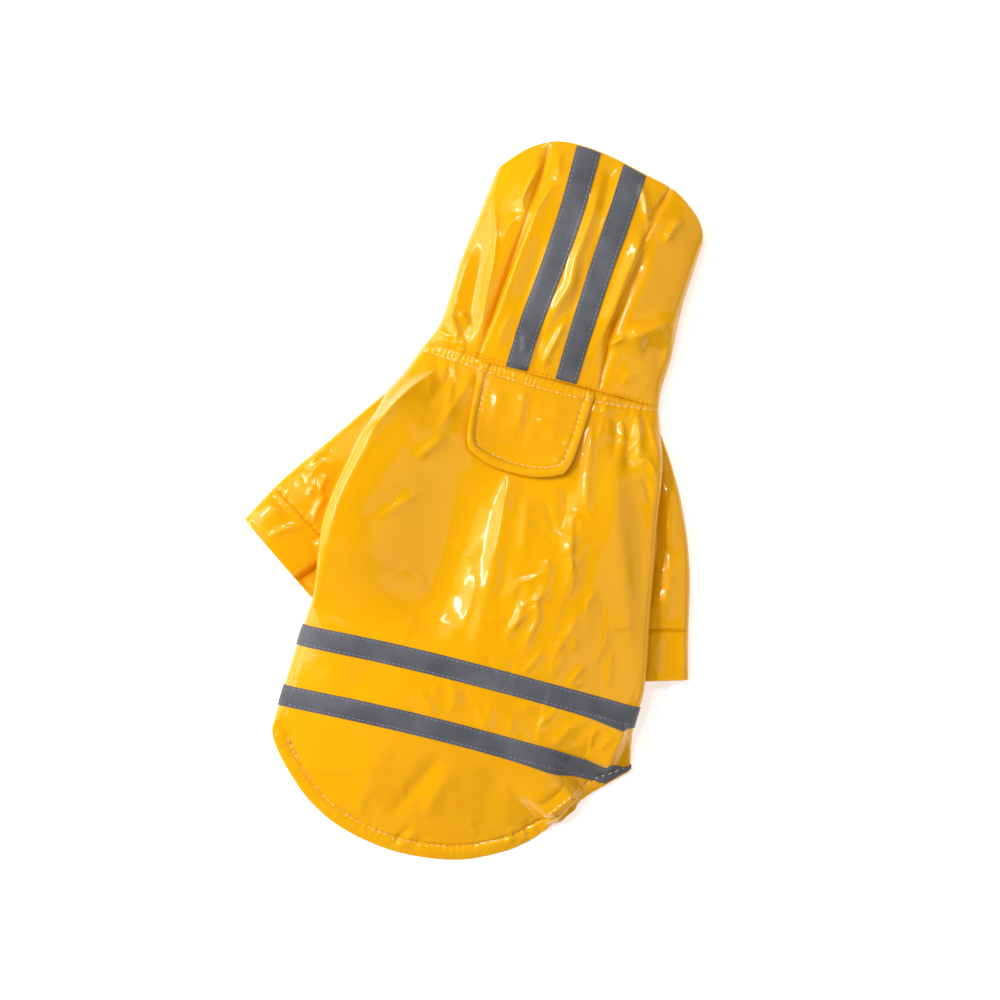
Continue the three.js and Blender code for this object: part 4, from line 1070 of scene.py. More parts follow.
# In every table of creases a row has the points, the width and the height, and then the lean and the edge
# where they aren't 0 and 1.5.
BODY_CREASES = (
    # The left side: a sharp crest by the fold, and a broad facet that falls away from it
    (((-49, -3), (-57, -14), (-66, -29), (-73, -46), (-77, -62), (-79.5, -78), (-80, -100), (-81, -136)),
           27, 13.5, -1.55, 1.3),
    (((-48, -1), (-54, -8), (-61, -19), (-67, -30), (-71, -40), (-76, -58), (-79, -74)), 2.2, 1.6, -0.5, 1.3),
    (((-79, -70), (-80.5, -95), (-81, -118), (-82, -138)), 1.9, 0.8, 0, 1.4),
    (((-14, -50), (-17, -90), (-20, -141)), 10, -1.7, 0.3, 1.6),
    (((-28, -34), (-27, -62), (-28, -100), (-31, -143)), 28, -7.8, 0.15, 1.8),
    (((36, -40), (44, -80), (48, -110), (50, -141)), 20, 2.6, 0.3, 1.8),
    (((-34, -1), (-37, -14), (-41, -28), (-44, -38)), 3.0, 1.6),
    (((-45, -4), (-49, -16), (-53, -28)), 3.2, -1.2, 0, 1.8),
    (((-38, -36), (-44.5, -44.5), (-50.5, -52.5)), 2.4, 1.3, 0, 1.7),
    (((-44, -66), (-52, -75), (-60, -84)), 2.0, 0.7, 0, 1.4),
    (((-49, -62), (-54, -70), (-58, -80)), 2.2, -0.5),
    # Down the middle from the flap
    (((-4, -44), (-4, -54), (-3, -66), (-2, -80), (-3, -96)), 4.0, 1.9, -0.6, 1.6),
    (((0, -78), (-1, -100), (0, -120), (1, -141)), 5.0, 0.9, -0.6, 1.7),
    (((6, -54), (10, -70), (12, -88)), 3.4, 0.8, 0, 1.7),
    (((-8, -98), (-7, -112), (-8, -128)), 2.6, 0.6, 0, 1.6),
    (((2, -84), (6, -96), (5, -112)), 3.0, -0.7, 0, 1.8),
    # The right of the middle
    (((28, -8), (31, -22), (33, -36), (36, -50), (41, -60)), 2.8, 1.4),
    (((24, -44), (27, -56), (28, -68)), 3.4, -0.9, 0, 1.8),
    (((30, -56), (33, -68), (35, -78), (38.5, -88), (39, -102)), 2.2, 1.6, 0.5, 1.4),
    (((42, -70), (44, -84), (44, -98)), 2.8, -0.8, 0, 1.7),
    (((24, -96), (24.5, -104), (27, -113), (24, -129)), 1.9, 1.3, 0.4, 1.4),
    (((28, -86), (21, -93), (14, -98), (12, -108)), 2.2, 0.7, 0, 1.5),
    (((20, -106), (17, -116), (14, -129)), 2.2, 0.9),
    (((46, -104), (43, -118), (38, -133)), 2.2, 1.1),
    (((52, -91), (49, -98), (50, -105)), 1.5, 0.7),
    (((60, -100), (62, -114), (60, -128)), 2.6, 0.7),
    (((66, -118), (68, -128), (70, -139)), 2.0, 0.7),
    (((34, -126), (30, -135), (26, -141)), 1.9, 0.9),
    (((56, -128), (52, -136), (50, -141)), 1.8, 0.8),
    (((40, -8), (46, -30), (52, -52), (62, -78), (72, -104), (82, -134)), 7, 1.9, 0.6, 1.7),
    (((56, -26), (62, -46), (70, -70), (78, -98)), 6, -1.2, 0, 1.9),
    (((32, -1), (34, -12), (35, -22)), 1.8, 0.8),
    (((39, -2), (42, -14), (44, -28)), 2.4, -1.1, 0, 1.7),
    (((46, -4), (50, -18), (53, -34)), 3.2, -1.3, 0, 1.8),
    (((50, -3), (54, -14), (57, -25)), 2.2, 1.6),
    (((56, -2), (61, -12), (66, -20)), 1.8, 1.0),
    (((56, -27), (61, -23), (67, -30)), 1.5, 1.4, 0, 1.4),
    (((60, -31), (64, -36), (68, -44)), 1.9, -1.2),
    # Between the tapes
    (((-36, -151), (-48, -163), (-60, -177)), 9, -0.9, 0, 1.9),
    (((-22, -160), (-15, -166), (-10, -173)), 1.7, 0.8, 0, 1.4),
    (((-5, -156), (-3, -162), (-3, -169)), 1.5, 0.7),
    (((70, -154), (66, -160), (67, -167), (72, -171)), 1.9, 1.0, 0, 1.5),
    (((76, -156), (73, -162), (71, -168)), 1.8, 0.7, 0, 1.5),
    (((56, -158), (53, -166), (49, -173)), 2.2, 0.7, 0, 1.6),
    (((62, -156), (60, -163), (60, -171)), 2.4, -0.7, 0, 1.7),
    (((44, -156), (42, -163), (43, -171)), 1.6, 0.5),
    (((81.5, -147), (79, -164), (76, -182)), 11.0, 9.5, 1.3, 1.25),
    # The tail
    (((-2, -188), (-8, -204), (-14, -216), (-20, -231)), 4.2, -1.3, 0, 1.8),
    (((6, -194), (1, -208), (-3, -226)), 4.4, 1.2, 0, 1.8),
    (((-30, -196), (-34, -210), (-30, -224)), 7, 0.9, 0, 1.9),
    (((22, -188), (26, -204), (22, -222)), 7, -0.9, 0, 1.9),
    (((69, -187), (63, -197), (55, -212)), 13, 9.5, 1.3, 1.6),
    (((61, -184), (56, -193), (47, -205)), 1.4, -0.9),
    (((66, -186), (60, -196), (51, -208)), 1.4, 1.0, 0, 1.4),
    (((72, -190), (66, -199), (59, -209)), 1.4, -1.0),
    (((70, -196), (66.5, -205), (60, -211)), 2.0, 2.4, 0, 1.4),
    (((55, -206), (58, -212), (57, -218)), 1.6, 1.3, 0, 1.4),
    (((47, -212), (50, -217), (50, -223)), 1.6, -1.1, 0, 1.5),
    (((40, -217), (42, -222), (41, -228)), 1.6, 0.9, 0, 1.5),
    (((-16, -243), (-12, -237), (-8, -230)), 1.5, -0.9),
    (((-12, -244), (-8, -238), (-5, -231)), 1.3, 0.6, 0, 1.4),
    (((-7, -243), (-3, -239), (0, -232)), 1.4, -0.6),
    (((-84, -194), (-78, -204), (-68, -216)), 3.4, -1.2, 0, 1.8),
    (((19, -219), (22, -223), (26, -227)), 1.3, 0.5),
    (((-18, -208), (-16, -213), (-15, -219)), 1.3, 0.5),
    (((32, -197), (35, -201), (37, -206)), 1.4, 0.5),
)
BODY_WRINKLES = [
    Wrinkles((14, -134), (50, -62), 16, 6, 18, (10, 24), (1.8, 3.4), (0.3, 0.8), 11),
    Wrinkles((8, -142), (74, -98), 14, -26, 24, (8, 20), (1.6, 3.0), (0.3, 0.7), 12),
    Wrinkles((-56, -20), (-30, -2), 8, 8, 12, (8, 18), (1.3, 2.2), (0.4, 0.9), 13),
    Wrinkles((28, -24), (58, 0), 11, 4, 16, (8, 17), (1.2, 2.2), (0.4, 0.9), 14),
    Wrinkles((26, -174), (70, -156), 6, -35, 30, (7, 16), (1.3, 2.4), (0.3, 0.6), 15),
    Wrinkles((-70, -150), (-14, -52), 9, 10, 40, (14, 34), (3.4, 6.5), (0.25, 0.6), 16),
    Wrinkles((-60, -230), (50, -194), 14, 60, 40, (12, 28), (2.6, 5.0), (0.25, 0.6), 17),
    Wrinkles((-24, -176), (40, -154), 8, 20, 40, (8, 20), (1.8, 3.2), (0.25, 0.6), 18),
]
# Both the body and the hood take these, so that they meet at the neck.
NECK_PARTS = [
    SewnLine(NECK_STITCH[:6], groove=0.5, pucker=0.42, pitch=2.3, reach=5.0, right=0.12, swell=0.8,
             swell_width=6.6, seed=3),
    SewnLine(NECK_STITCH[5:], groove=0.35, pucker=0.2, pitch=3.4, reach=3.0, swell=0.6,
             swell_width=4.6, seed=4),
    SewnLine(NECK_SEAM_LINE, groove=0.9, groove_width=0.9, pucker=0.3, pitch=2.3, reach=1.6, seed=8),
]
HEM_SEAM = SewnLine(hem_line(), groove=0.9, pucker=0.7, pitch=2.8, reach=4.0, right=0.5, swell=0.5,
                    swell_width=HEM_INSET, seed=5)

HOOD_CREASES = (
    # The left panel
    (((-47, 94), (-44, 80), (-40, 66), (-38, 52), (-37.5, 38), (-36, 24), (-34.5, 12)), 2.0, 1.5, 0, 1.4),
    (((-46, 66), (-45, 48), (-44, 30), (-42, 10)), 4.4, -2.2, 0, 1.8),
    (((-53, 62), (-53, 42), (-52, 28), (-50, 14)), 2.8, 1.4, 0, 1.6),
    (((-53, 24), (-48, 18), (-45, 7)), 1.6, 1.2, 0, 1.4),
    (((-48.5, 26), (-45.9, 24), (-42.5, 21)), 1.5, 1.9, 0, 1.4),
    (((-58, 16), (-52, 13), (-46, 14)), 1.8, 0.9),
    (((-33, 80), (-36, 70), (-36, 62)), 2.4, 0.8, 0, 1.6),
    # The left seam: a pocket at the brim, then a deep valley beside a sharp bank
    (((-26.5, 111), (-30, 97), (-31.4, 86), (-27.5, 80)), 1.4, 1.9, 0.3, 1.3),
    (((-26.3, 118), (-27, 104), (-27.3, 92), (-26.5, 83)), 2.0, -2.4, 0, 1.6),
    (((-26, 86), (-27.5, 72), (-29.5, 60), (-31, 46), (-32, 32), (-33.5, 20), (-34.5, 7)), 1.9, -3.0, 0, 1.5),
    (((-14, 99.5), (-18, 96.5), (-21, 91), (-24, 80), (-26, 68), (-27.2, 54), (-28.8, 40), (-31.2, 22),
            (-33.2, 9)), 3.4, 2.3, -0.9, 1.3),
    (((-16, 98.5), (-19, 97), (-22, 89), (-25, 79)), 1.0, 0.8, 0, 1.3),
    (((-17, 74), (-18.5, 52), (-20, 34)), 3.6, -1.1, 0, 1.8),
    (((-22, 34), (-25, 22), (-26, 10)), 2.2, 0.9),
    (((-20, 117), (-19, 108), (-17, 101)), 2.0, 0.9),
    # Between the tapes
    (((3.5, 108), (3.5, 92), (2.5, 78), (1, 64), (1.5, 52), (-1.5, 42), (-4, 30), (-5, 20)),
     3.4, 2.3, 0.2, 1.5),
    (((4, 36), (1.5, 24), (-2, 8)), 2.0, 1.7, 0, 1.4),
    (((-5.5, 28), (-6.5, 16), (-7, 7)), 1.8, -0.9),
    (((6.5, 118), (7.5, 104), (8, 88)), 3.2, -1.4, 0, 1.8),
    (((12.5, 115), (11.2, 102), (9.8, 84), (8.5, 72)), 1.3, 0.8, 0, 1.4),
    (((6, 66), (6, 50), (4, 34)), 2.2, -0.9, 0, 1.7),
    # The right seam: a bright bank beside the tape, then a deep valley
    (((22, 111), (26, 103.5), (28.5, 98), (31, 91)), 1.5, 1.8, 0, 1.3),
    (((29, 90), (29.6, 76), (28.5, 64), (26.5, 50), (24.5, 38), (23, 24)), 3.4, 2.8, 0.8, 1.5),
    (((38.5, 111), (34.5, 101), (31.8, 91)), 1.5, -1.7, 0, 1.5),
    (((32.5, 88), (32.8, 74), (30.6, 60), (28.6, 46), (27, 34), (28.3, 20), (29.5, 7)), 2.3, -3.0, -0.4, 1.5),
    (((38, 84), (38.5, 70), (36, 52), (32, 38)), 3.2, 0.4, 0, 1.6),
    (((27, 26.5), (30.5, 30.5), (35, 35)), 1.7, 2.1, 0, 1.4),
    # The right panel
    (((32, 30), (41, 37.5), (50, 44.5), (59, 50)), 6, 3.4, 0.7, 1.25),
    (((42, 31), (51, 32), (59, 30)), 5, -2.2, 0, 1.9),
    (((38, 12), (48, 19), (58, 14)), 4.6, 0.9, 0, 1.7),
    (((47, 99), (43.5, 91), (41.5, 83)), 2.2, 2.0, 0, 1.4),
    (((54, 92), (55, 76), (55, 60)), 4.5, 0.4, 0, 1.8),
)
HOOD_WRINKLES = [
    Wrinkles((-57, 8), (-37, 34), 7, 10, 22, (7, 16), (1.4, 2.6), (0.4, 1.0), 21),
    Wrinkles((-30, 8), (26, 26), 9, 4, 14, (7, 16), (1.2, 2.2), (0.3, 0.8), 22),
    Wrinkles((32, 8), (57, 24), 4, 10, 22, (7, 14), (1.6, 2.6), (0.2, 0.45), 24),
]


def hood_seam(column: int, seed: int) -> SewnLine:
    """A long seam of the hood: the two panels roll down into it, and it gathers them a little."""
    ys = np.linspace(5, 118, 8)
    line = tuple(zip(rows_at(HOOD_LINES, ys)[:, column], ys))
    return SewnLine(line, groove=0.8, groove_width=0.8, pucker=0.16, pitch=3.4, reach=1.8, seed=seed)


def creases_of(rows: Sequence[tuple], patches: Sequence[Wrinkles] = ()) -> list[Crease]:
    """A table's creases, and after them those of the patches of wrinkles."""
    return [Crease(*row) for row in rows] + [crease for patch in patches for crease in patch.creases()]


def make_body() -> Tube:
    """The body's tube with all its relief."""
    parts = [*creases_of(BODY_CREASES, BODY_WRINKLES), *NECK_PARTS, HEM_SEAM]
    return Tube(BODY_LEFT, BODY_RIGHT, BODY_SPINE, TAIL_HEM, BELLY_SHARE, 1.5, relief_of(parts))


def make_hood() -> Tube:
    """The hood's tube with all its relief."""
    parts = [*creases_of(HOOD_CREASES, HOOD_WRINKLES), hood_seam(1, 31), hood_seam(4, 32), *NECK_PARTS]
    return Tube(HOOD_LEFT, HOOD_RIGHT, HOOD_SPINE, BRIM, THROAT_SHARE, 1.6, relief_of(parts))


def finished(piece: bpy.types.Object, node: str | None = None) -> None:
    """Hangs a piece on the root, and for cloth hides the solid that it stands for.

    Args:
        piece: the object.
        node: the solid that it stands for, if it is cloth.
    """
    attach(piece, "root")
    if node:
        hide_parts(node)
    LOG.info("%s: %d faces", piece.name, len(piece.data.polygons))


def cloth_piece(node: str, grid: Array, finishes: Finishes, **form: object) -> None:
    """Makes the cloth that stands for a node: a shell on the grid, with the coated side out."""
    piece = shell(f"{node}_cloth", grid, [finishes.cloth, finishes.back], **form)
    finished(piece, node)


def tape_piece(node: str, grid: Array, finishes: Finishes, side: int) -> None:
    """Makes the reflective tape that stands for a node."""
    piece = shell(node, grid, [finishes.tape, finishes.tape], side=side, thickness=TAPE_SHELL)
    finished(piece, node)


# The flap's topstitch in plan: down the right side, round the bottom and up the left side.
FLAP_STITCH = (
    (22.6, 0.5), (22, -14), (21, -28), (19.4, -35), (15, -38), (8, -40), (-2, -40.8), (-12, -39.8),
    (-20, -37.8), (-24.2, -35), (-26, -28), (-27.2, -14), (-27.6, 0.5),
)
# Over the right end of the lower tape, where the hem is folded up.
CORNER_STITCH = ((89.5, -174.5), (81, -180.5), (75, -184))
FLAP_CREASES = (
    (((-8, -1), (-6, -14), (-6, -30)), 3.6, 0.7, 0, 1.3),
    (((-3, -3), (-3, -18), (-5, -32)), 3.4, -0.5, 0, 1.8),
    (((12, -3), (11, -16), (14, -30)), 4.0, 0.4, 0, 1.8),
    (((2, -16), (6, -16.8), (11, -15.6)), 1.2, 0.4),
    (((-20, -4), (-19, -18), (-21, -30)), 3.0, 0.35, 0, 1.7),
    (((23, -22), (20, -24), (18, -26)), 1.3, 0.7, 0, 1.4),
    (((22, -36), (19, -34), (15, -34)), 1.4, 0.8, 0, 1.4),
)


@dataclass
class Body:
    """The back panel with its tail, the tapes and the flap on it, and the belly fronts."""

    tube: Tube
    finishes: Finishes
    rows: int = 301
    top_columns: int = 185
    # A tape's y in the middle, and how far it droops at its left and right end
    upper_tape: tuple[float, float, float] = (-147.0, 3.4, 1.6)
    lower_tape: tuple[float, float, float] = (-178.2, 4.2, 2.0)

    @staticmethod
    def hem_wrap(v: Array) -> Array:
        """How far the back panel runs on under the body away from the armholes: less towards the hem."""
        return SIDE_WRAP * ease((1.25 - v) / 0.4)

    def wraps(self, side: Side, v: Array) -> Array:
        """How far the back panel runs on under the body: less beside the armholes, and towards the hem."""
        start = 0.07 if side is Side.LEFT else 0.04
        wide = np.maximum(self.hem_wrap(v), self.tube.roll(v) + 1.5)
        return mix(wide, ARMHOLE_WRAP, ease((v - start) / 0.05) * ease((0.42 - v) / 0.05))

    def side_columns(self, side: Side, v: Array, turns: Array) -> Array:
        """The columns round one side fold, from the side seam to the top."""
        tube, k = self.tube, side.value
        inset = mix(tube.roll(v)[:, None], self.wraps(side, v)[:, None], np.linspace(1, 0, 7)[None, :-1])
        under = tube.wrap(k, inset, v[:, None] * tube.lower_end(inset / tube.width(v)[:, None]))
        rolled = tube.round(k, turns[None, :], v[:, None] * tube.turned_share(turns[None, :], v[:, None]))
        return np.concatenate([under, rolled], axis=1)

    def panel(self) -> Array:
        """The back panel's grid, from the left side seam over the top to the right one."""
        tube = self.tube
        v = np.linspace(0, 1, self.rows)
        turns = np.linspace(-1, 1, 12)
        left, right = (self.side_columns(side, v, turns) for side in Side)
        t = np.linspace(0, 1, self.top_columns + 2)[1:-1]
        u = mix(tube.top_start(-1, v)[:, None], tube.top_start(1, v)[:, None], t[None, :])
        grid = np.concatenate([left, tube.upper(u, v[:, None]), right[:, ::-1]], axis=1)
        folded = np.append(np.zeros(left.shape[1] - len(turns)), turned_weight(turns))
        return tube.dressed(grid, -1, np.concatenate([folded, np.ones(len(t)), folded[::-1]])[None, :])

    @staticmethod
    def tape_line(sizes: tuple[float, float, float], offset: float) -> Callable[[Array], Array]:
        """y of a line along a tape, which droops from its middle towards both side folds."""
        middle, left, right = sizes
        west, east = TAPE_HALVES
        return lambda x: (
            middle - left * (np.minimum(x, 0) / west) ** 2 - right * (np.maximum(x, 0) / east) ** 2 + offset
        )

    def tape(self, name: str, sizes: tuple[float, float, float], limits: tuple[float, float]) -> Array:
        """A tape across the back, on the panel's own surface.

        Args:
            name: the tape's node.
            sizes: y in the middle, and the droop at the left and right end.
            limits: the largest v of its upper and its lower edge.

        Returns:
            Its grid.
        """
        tube = self.tube
        turns = np.linspace(-0.6, 1, 7)
        t = np.linspace(0, 1, 183)[1:-1]
        insets = [1 - math.cos(max(turn, 0) * math.pi / 2) for turn in turns]
        shares = [
            *[(lambda v, k=k: tube.top_start(-1, v) * k, 1) for k in insets],
            (lambda v: mix(tube.top_start(-1, v), tube.top_start(1, v), t), len(t)),
            *[(lambda v, k=k: mix(1, tube.top_start(1, v), k), 1) for k in insets[::-1]],
        ]
        stations = []
        for offset, limit in ((TAPE_WIDTH / 2, limits[0]), (-TAPE_WIDTH / 2, limits[1])):
            line = self.tape_line(sizes, offset)
            found = np.concatenate([tube.station(share, line, count) for share, count in shares])
            stations.append(np.minimum(found, limit))
        q = np.linspace(0, 1, 13)
        v = mix(stations[0][None, :], stations[1][None, :], q[:, None])
        n = len(turns)
        middle = v[:, n:-n]
        u = mix(tube.top_start(-1, middle), tube.top_start(1, middle), t[None, :])
        grid = np.concatenate([
            tube.round(-1, turns[None, :], v[:, :n]),
            tube.upper(u, middle),
            tube.round(1, turns[::-1][None, :], v[:, -n:]),
        ], axis=1)
        weight = np.concatenate([turned_weight(turns), np.ones(len(t)), turned_weight(turns[::-1])])
        sewn = -TAPE_GROOVE * (np.exp(-(((q - 0.09) / 0.05) ** 2)) + np.exp(-(((q - 0.91) / 0.05) ** 2)))
        grid = tube.dressed(grid, -1, weight[None, :], TAPE_STAND + sewn[:, None])
        tape_piece(name, grid, self.finishes, -1)
        return grid

    def flap(self) -> Array:
        """The flap over the back of the neck: a rounded tongue caught in the neck seam.

        Formula: the body's surface under each point, plus a stand-off that grows towards the lower edge, plus
        its own creases and its topstitch, outside which the border is stuffed.

        Returns:
            Its grid.
        """
        p, q = np.meshgrid(np.linspace(0, 1, 95), np.linspace(0, 1, 83))
        edge = np.abs(2 * p - 1)
        pull = 3 * q + 2.5 * q**10
        x = mix(FLAP_LEFT + pull, FLAP_RIGHT - pull, p)
        y = mix(FLAP_TOP, FLAP_BOTTOM + FLAP_ROUNDING * edge**2.6, q)
        u, v = self.tube.share_of(x, y)
        grid = self.tube.dressed(self.tube.upper(u, v), -1)
        grid[..., 2] += 0.5 + 0.6 * ease(q / 0.15) + 2.4 * ease((q - 0.15) / 0.85) * (0.6 + 0.4 * edge)
        line = SewnLine(FLAP_STITCH, groove=0.6, groove_width=0.8, pucker=0.1, pitch=2.9, reach=2.2,
                        swell=0.9, swell_width=5.0, seed=41)
        total = relief_of([line, *creases_of(FLAP_CREASES)])
        return grid + normals_of(grid, -1) * total(grid[..., 0], grid[..., 1])[..., None]

    def belly(self, side: Side) -> Array:
        """A belly front's grid, from its side seam or armhole to past the centre line."""
        tube, k = self.tube, side.value
        s, t = np.meshgrid(np.linspace(0, 1, 121), np.linspace(0, 1, 61), indexing="ij")
        v = 0.9 * s
        for _ in range(10):
            wrap = np.maximum(self.wraps(side, v), self.hem_wrap(v))
            l, r = tube.fold(-1, v), tube.fold(1, v)
            span = r[..., 1] - l[..., 1]
            seam = (wrap + SEAM_GAP) / span if k < 0 else 1 - (wrap + SEAM_GAP) / span
            y = mix(l[..., 0], r[..., 0], seam)
            cut = (self.armhole(side, y) - l[..., 1]) / span
            outer = np.maximum(seam, cut) if k < 0 else np.minimum(seam, cut)
            u = mix(outer, (-k * LAP - l[..., 1]) / span, t)
            v = s * tube.lower_end(u)
        p = tube.lower_plan(u, v)
        z = self.belly_height(p[..., 0], p[..., 1], side is Side.RIGHT)
        return np.concatenate([p, z[..., None]], axis=-1)

    @staticmethod
    def armhole(side: Side, y: Array) -> Array:
        """x of the armhole's edge at y: the line where the sleeve starts, run out to the side below it."""
        _, ox, oy, ix, iy = (SLEEVE_LEFT if side is Side.LEFT else SLEEVE_RIGHT)[0, :5]
        k = side.value
        xs = [ox + 12 * k, ox - 0.3 * k, ix - 0.3 * k, ix + 5 * k, ix + 14 * k, ix + 30 * k]
        ys = [oy + 3, oy, iy, iy - 4, iy - 8, iy - 10]
        return np.interp(-y, -np.array(ys), np.array(xs), left=ox + 40 * k, right=ox + 40 * k)

    @staticmethod
    def belly_height(x: Array, y: Array, upper_front: bool) -> Array:
        """Underside height of the belly.

        Formula: lifted beside each side fold over the sleeves and at the neck, and either lifted over the
        other front at the lap or, on the front that lies lower, pressed in round the press studs.
        """
        left = rows_at(BODY_LEFT, y)
        right = rows_at(BODY_RIGHT, np.maximum(y, BODY_RIGHT[-1, 0]))
        beside = ((left, x - left[..., 1], LEFT_LIFT), (right, right[..., 1] - x, RIGHT_LIFT))
        height = 0
        for fold, near, (flat, ramp, start) in beside:
            height = height + fold[..., 2] * (1 - ease((near - flat) / ramp)) * ease((start - y) / LIFT_START)
        flat, ramp, start = NECK_LIFT
        for fold, near, _ in beside:
            neck = fold[..., 2] * (1 - ease((near - flat) / ramp))
            height = height + neck * ease((y - start) / NECK_LIFT_START)
        if upper_front:
            return height + (1 + SEAM_GAP) * (1 - ease((x - LAP - 1) / LAP_RAMP))
        away = np.min([np.hypot(x, y - place) for place in STUD_PLACES], axis=0)
        return height + STUD_PRESS * (1 - ease((away - STUD_RADIUS - STUD_RIM) / STUD_DIMPLE))

    def topstitch(self, panel: Array, flap: Array, lower_tape: Array) -> None:
        """The pale stitches of the neck, the flap and the hem."""
        neck = Path.through(NECK_STITCH, 10)
        over = np.abs(neck.points[:, 0] - (FLAP_LEFT + FLAP_RIGHT) / 2) < 29.2
        first, last = np.flatnonzero(over)[[0, -1]]
        hem = Path.through(hem_line(), 8).points
        line = self.tape_line(self.lower_tape, 0)(hem[:, 0])
        crosses = int(np.flatnonzero((hem[:, 1] < line - TAPE_WIDTH / 2) & (hem[:, 0] > 30))[0])
        lines = [
            (Path(neck.points[: first + 1]), panel),
            (Path(neck.points[first : last + 1]), flap),
            (Path(neck.points[last:]), panel),
            (Path.through(FLAP_STITCH, 8), flap),
            (Path(hem[crosses:]), panel),
            (Path.through(CORNER_STITCH, 4), lower_tape),
        ]
        finished(stitches("body_topstitch", lines, TOPSTITCH, self.finishes.pale_thread, 51))

    def build(self) -> None:
        """Makes the body's pieces."""
        f = self.finishes
        panel = self.panel()
        cloth_piece("back_panel", panel, f, side=-1, free=SEWN_IN)
        upper = self.tape("back_tape_upper", self.upper_tape, (1, 1))
        lower = self.tape("back_tape_lower", self.lower_tape, (0.984, 0.993))
        flap = self.flap()
        cloth_piece("leash_flap", flap, f, side=-1, thickness=FLAP_SHELL)
        under = []
        for side in Side:
            grid = self.belly(side)
            rows = (grid[3:-3, -11], grid[3:-3, -2], grid[-5, 6:-6], grid[4:-4, 5])
            under += [(Path(row[:, :2]), grid) for row in rows]
            cloth_piece(f"belly_{side.name.lower()}", grid, f, side=-side.value, floor=0.0)
        self.topstitch(panel, flap, lower)
        finished(stitches("belly_topstitch", under, BELLY_STITCH, f.pale_thread, 54, face=-1))
        edges = []
        for sizes, surface, end in ((self.upper_tape, upper, 86), (self.lower_tape, lower, 78)):
            x = np.linspace(-83, end, 60)
            for offset in (TAPE_WIDTH / 2 - BACK_STITCH_INSET, BACK_STITCH_INSET - TAPE_WIDTH / 2):
                edges.append((Path(np.stack([x, self.tape_line(sizes, offset)(x)], axis=1)), surface))
        finished(stitches("back_tape_stitching", edges, TAPE_STITCH, f.tape_thread, 52))


@dataclass
class Hood:
    """The hood: a centre panel with two tapes, and two side panels round to the throat."""

    tube: Tube
    finishes: Finishes
    rows: int = 191

    def line_share(self, column: int, v: Array) -> Array:
        """u at which the upper layer passes one of the hood's long lines, by halving."""
        low, high = np.zeros_like(v), np.ones_like(v)
        for _ in range(HALVINGS):
            u = (low + high) / 2
            p = self.tube.plan(u, v)
            short = p[..., 0] < rows_at(HOOD_LINES, p[..., 1])[..., column]
            low, high = np.where(short, u, low), np.where(short, high, u)
        return (low + high) / 2

    def centre(self) -> Array:
        """The centre panel's grid."""
        v = np.linspace(0, 1, self.rows)
        gap = SEAM_GAP / 2 / self.tube.width(v)
        start, end = self.line_share(1, v) + gap, self.line_share(4, v) - gap
        u = mix(start[:, None], end[:, None], np.linspace(0, 1, 101)[None, :])
        return self.tube.dressed(self.tube.upper(u, v[:, None]), 1)

    def side(self, side: Side) -> Array:
        """A side panel's grid: from the long seam over the side fold to the centre of the throat."""
        tube, k = self.tube, side.value
        v = np.linspace(0, 1, self.rows)
        width = tube.width(v)[:, None]
        seam = self.line_share(1 if k < 0 else 4, v)[:, None] + k * SEAM_GAP / 2 / width
        top = mix(seam, tube.top_start(k, v)[:, None], np.linspace(0, 1, 48)[None, :-1])
        turns = np.linspace(1, -1, 13)
        inset = mix(tube.roll(v)[:, None], (width - SEAM_GAP) / 2, np.linspace(0, 1, 42)[None, 1:])
        grid = np.concatenate([
            tube.upper(top, v[:, None]),
            tube.round(k, turns[None, :], v[:, None] * tube.turned_share(turns[None, :], v[:, None])),
            tube.wrap(k, inset, v[:, None] * tube.lower_end(inset / width)),
        ], axis=1)
        weight = np.concatenate([np.ones(top.shape[1]), turned_weight(turns), np.zeros(inset.shape[1])])
        return tube.dressed(grid, k, weight[None, :])

    def tape(self, name: str, column: int) -> list[tuple[Path, Array]]:
        """A tape along the hood on the centre panel's surface, and the lines of its stitches."""
        tube = self.tube
        v = np.linspace(0.006, 0.994, 151)
        middle = self.line_share(column, v)
        half = TAPE_WIDTH / 2 / tube.width(v)
        q = np.linspace(-1, 1, 13)
        grid = tube.upper(middle[:, None] + q[None, :] * half[:, None], v[:, None])
        sewn = -TAPE_GROOVE * np.exp(-(((np.abs(q) - HOOD_STITCH_SHARE) / 0.1) ** 2))
        grid = tube.dressed(grid, 1, 1.0, TAPE_STAND + sewn[None, :])
        tape_piece(name, grid, self.finishes, 1)
        return [(Path(tube.plan(middle + share * half, v)[2:-2]), grid)
                for share in (-HOOD_STITCH_SHARE, HOOD_STITCH_SHARE)]

    def build(self) -> None:
        """Makes the hood's pieces."""
        f = self.finishes
        cloth_piece("hood_centre", self.centre(), f, side=1, free=SEWN_IN)
        for side in Side:
            cloth_piece(f"hood_{side.name.lower()}", self.side(side), f, side=side.value, free=SEWN_IN)
        lines = self.tape("hood_tape_left", 2) + self.tape("hood_tape_right", 3)
        finished(stitches("hood_tape_stitching", lines, TAPE_STITCH, f.tape_thread, 53))


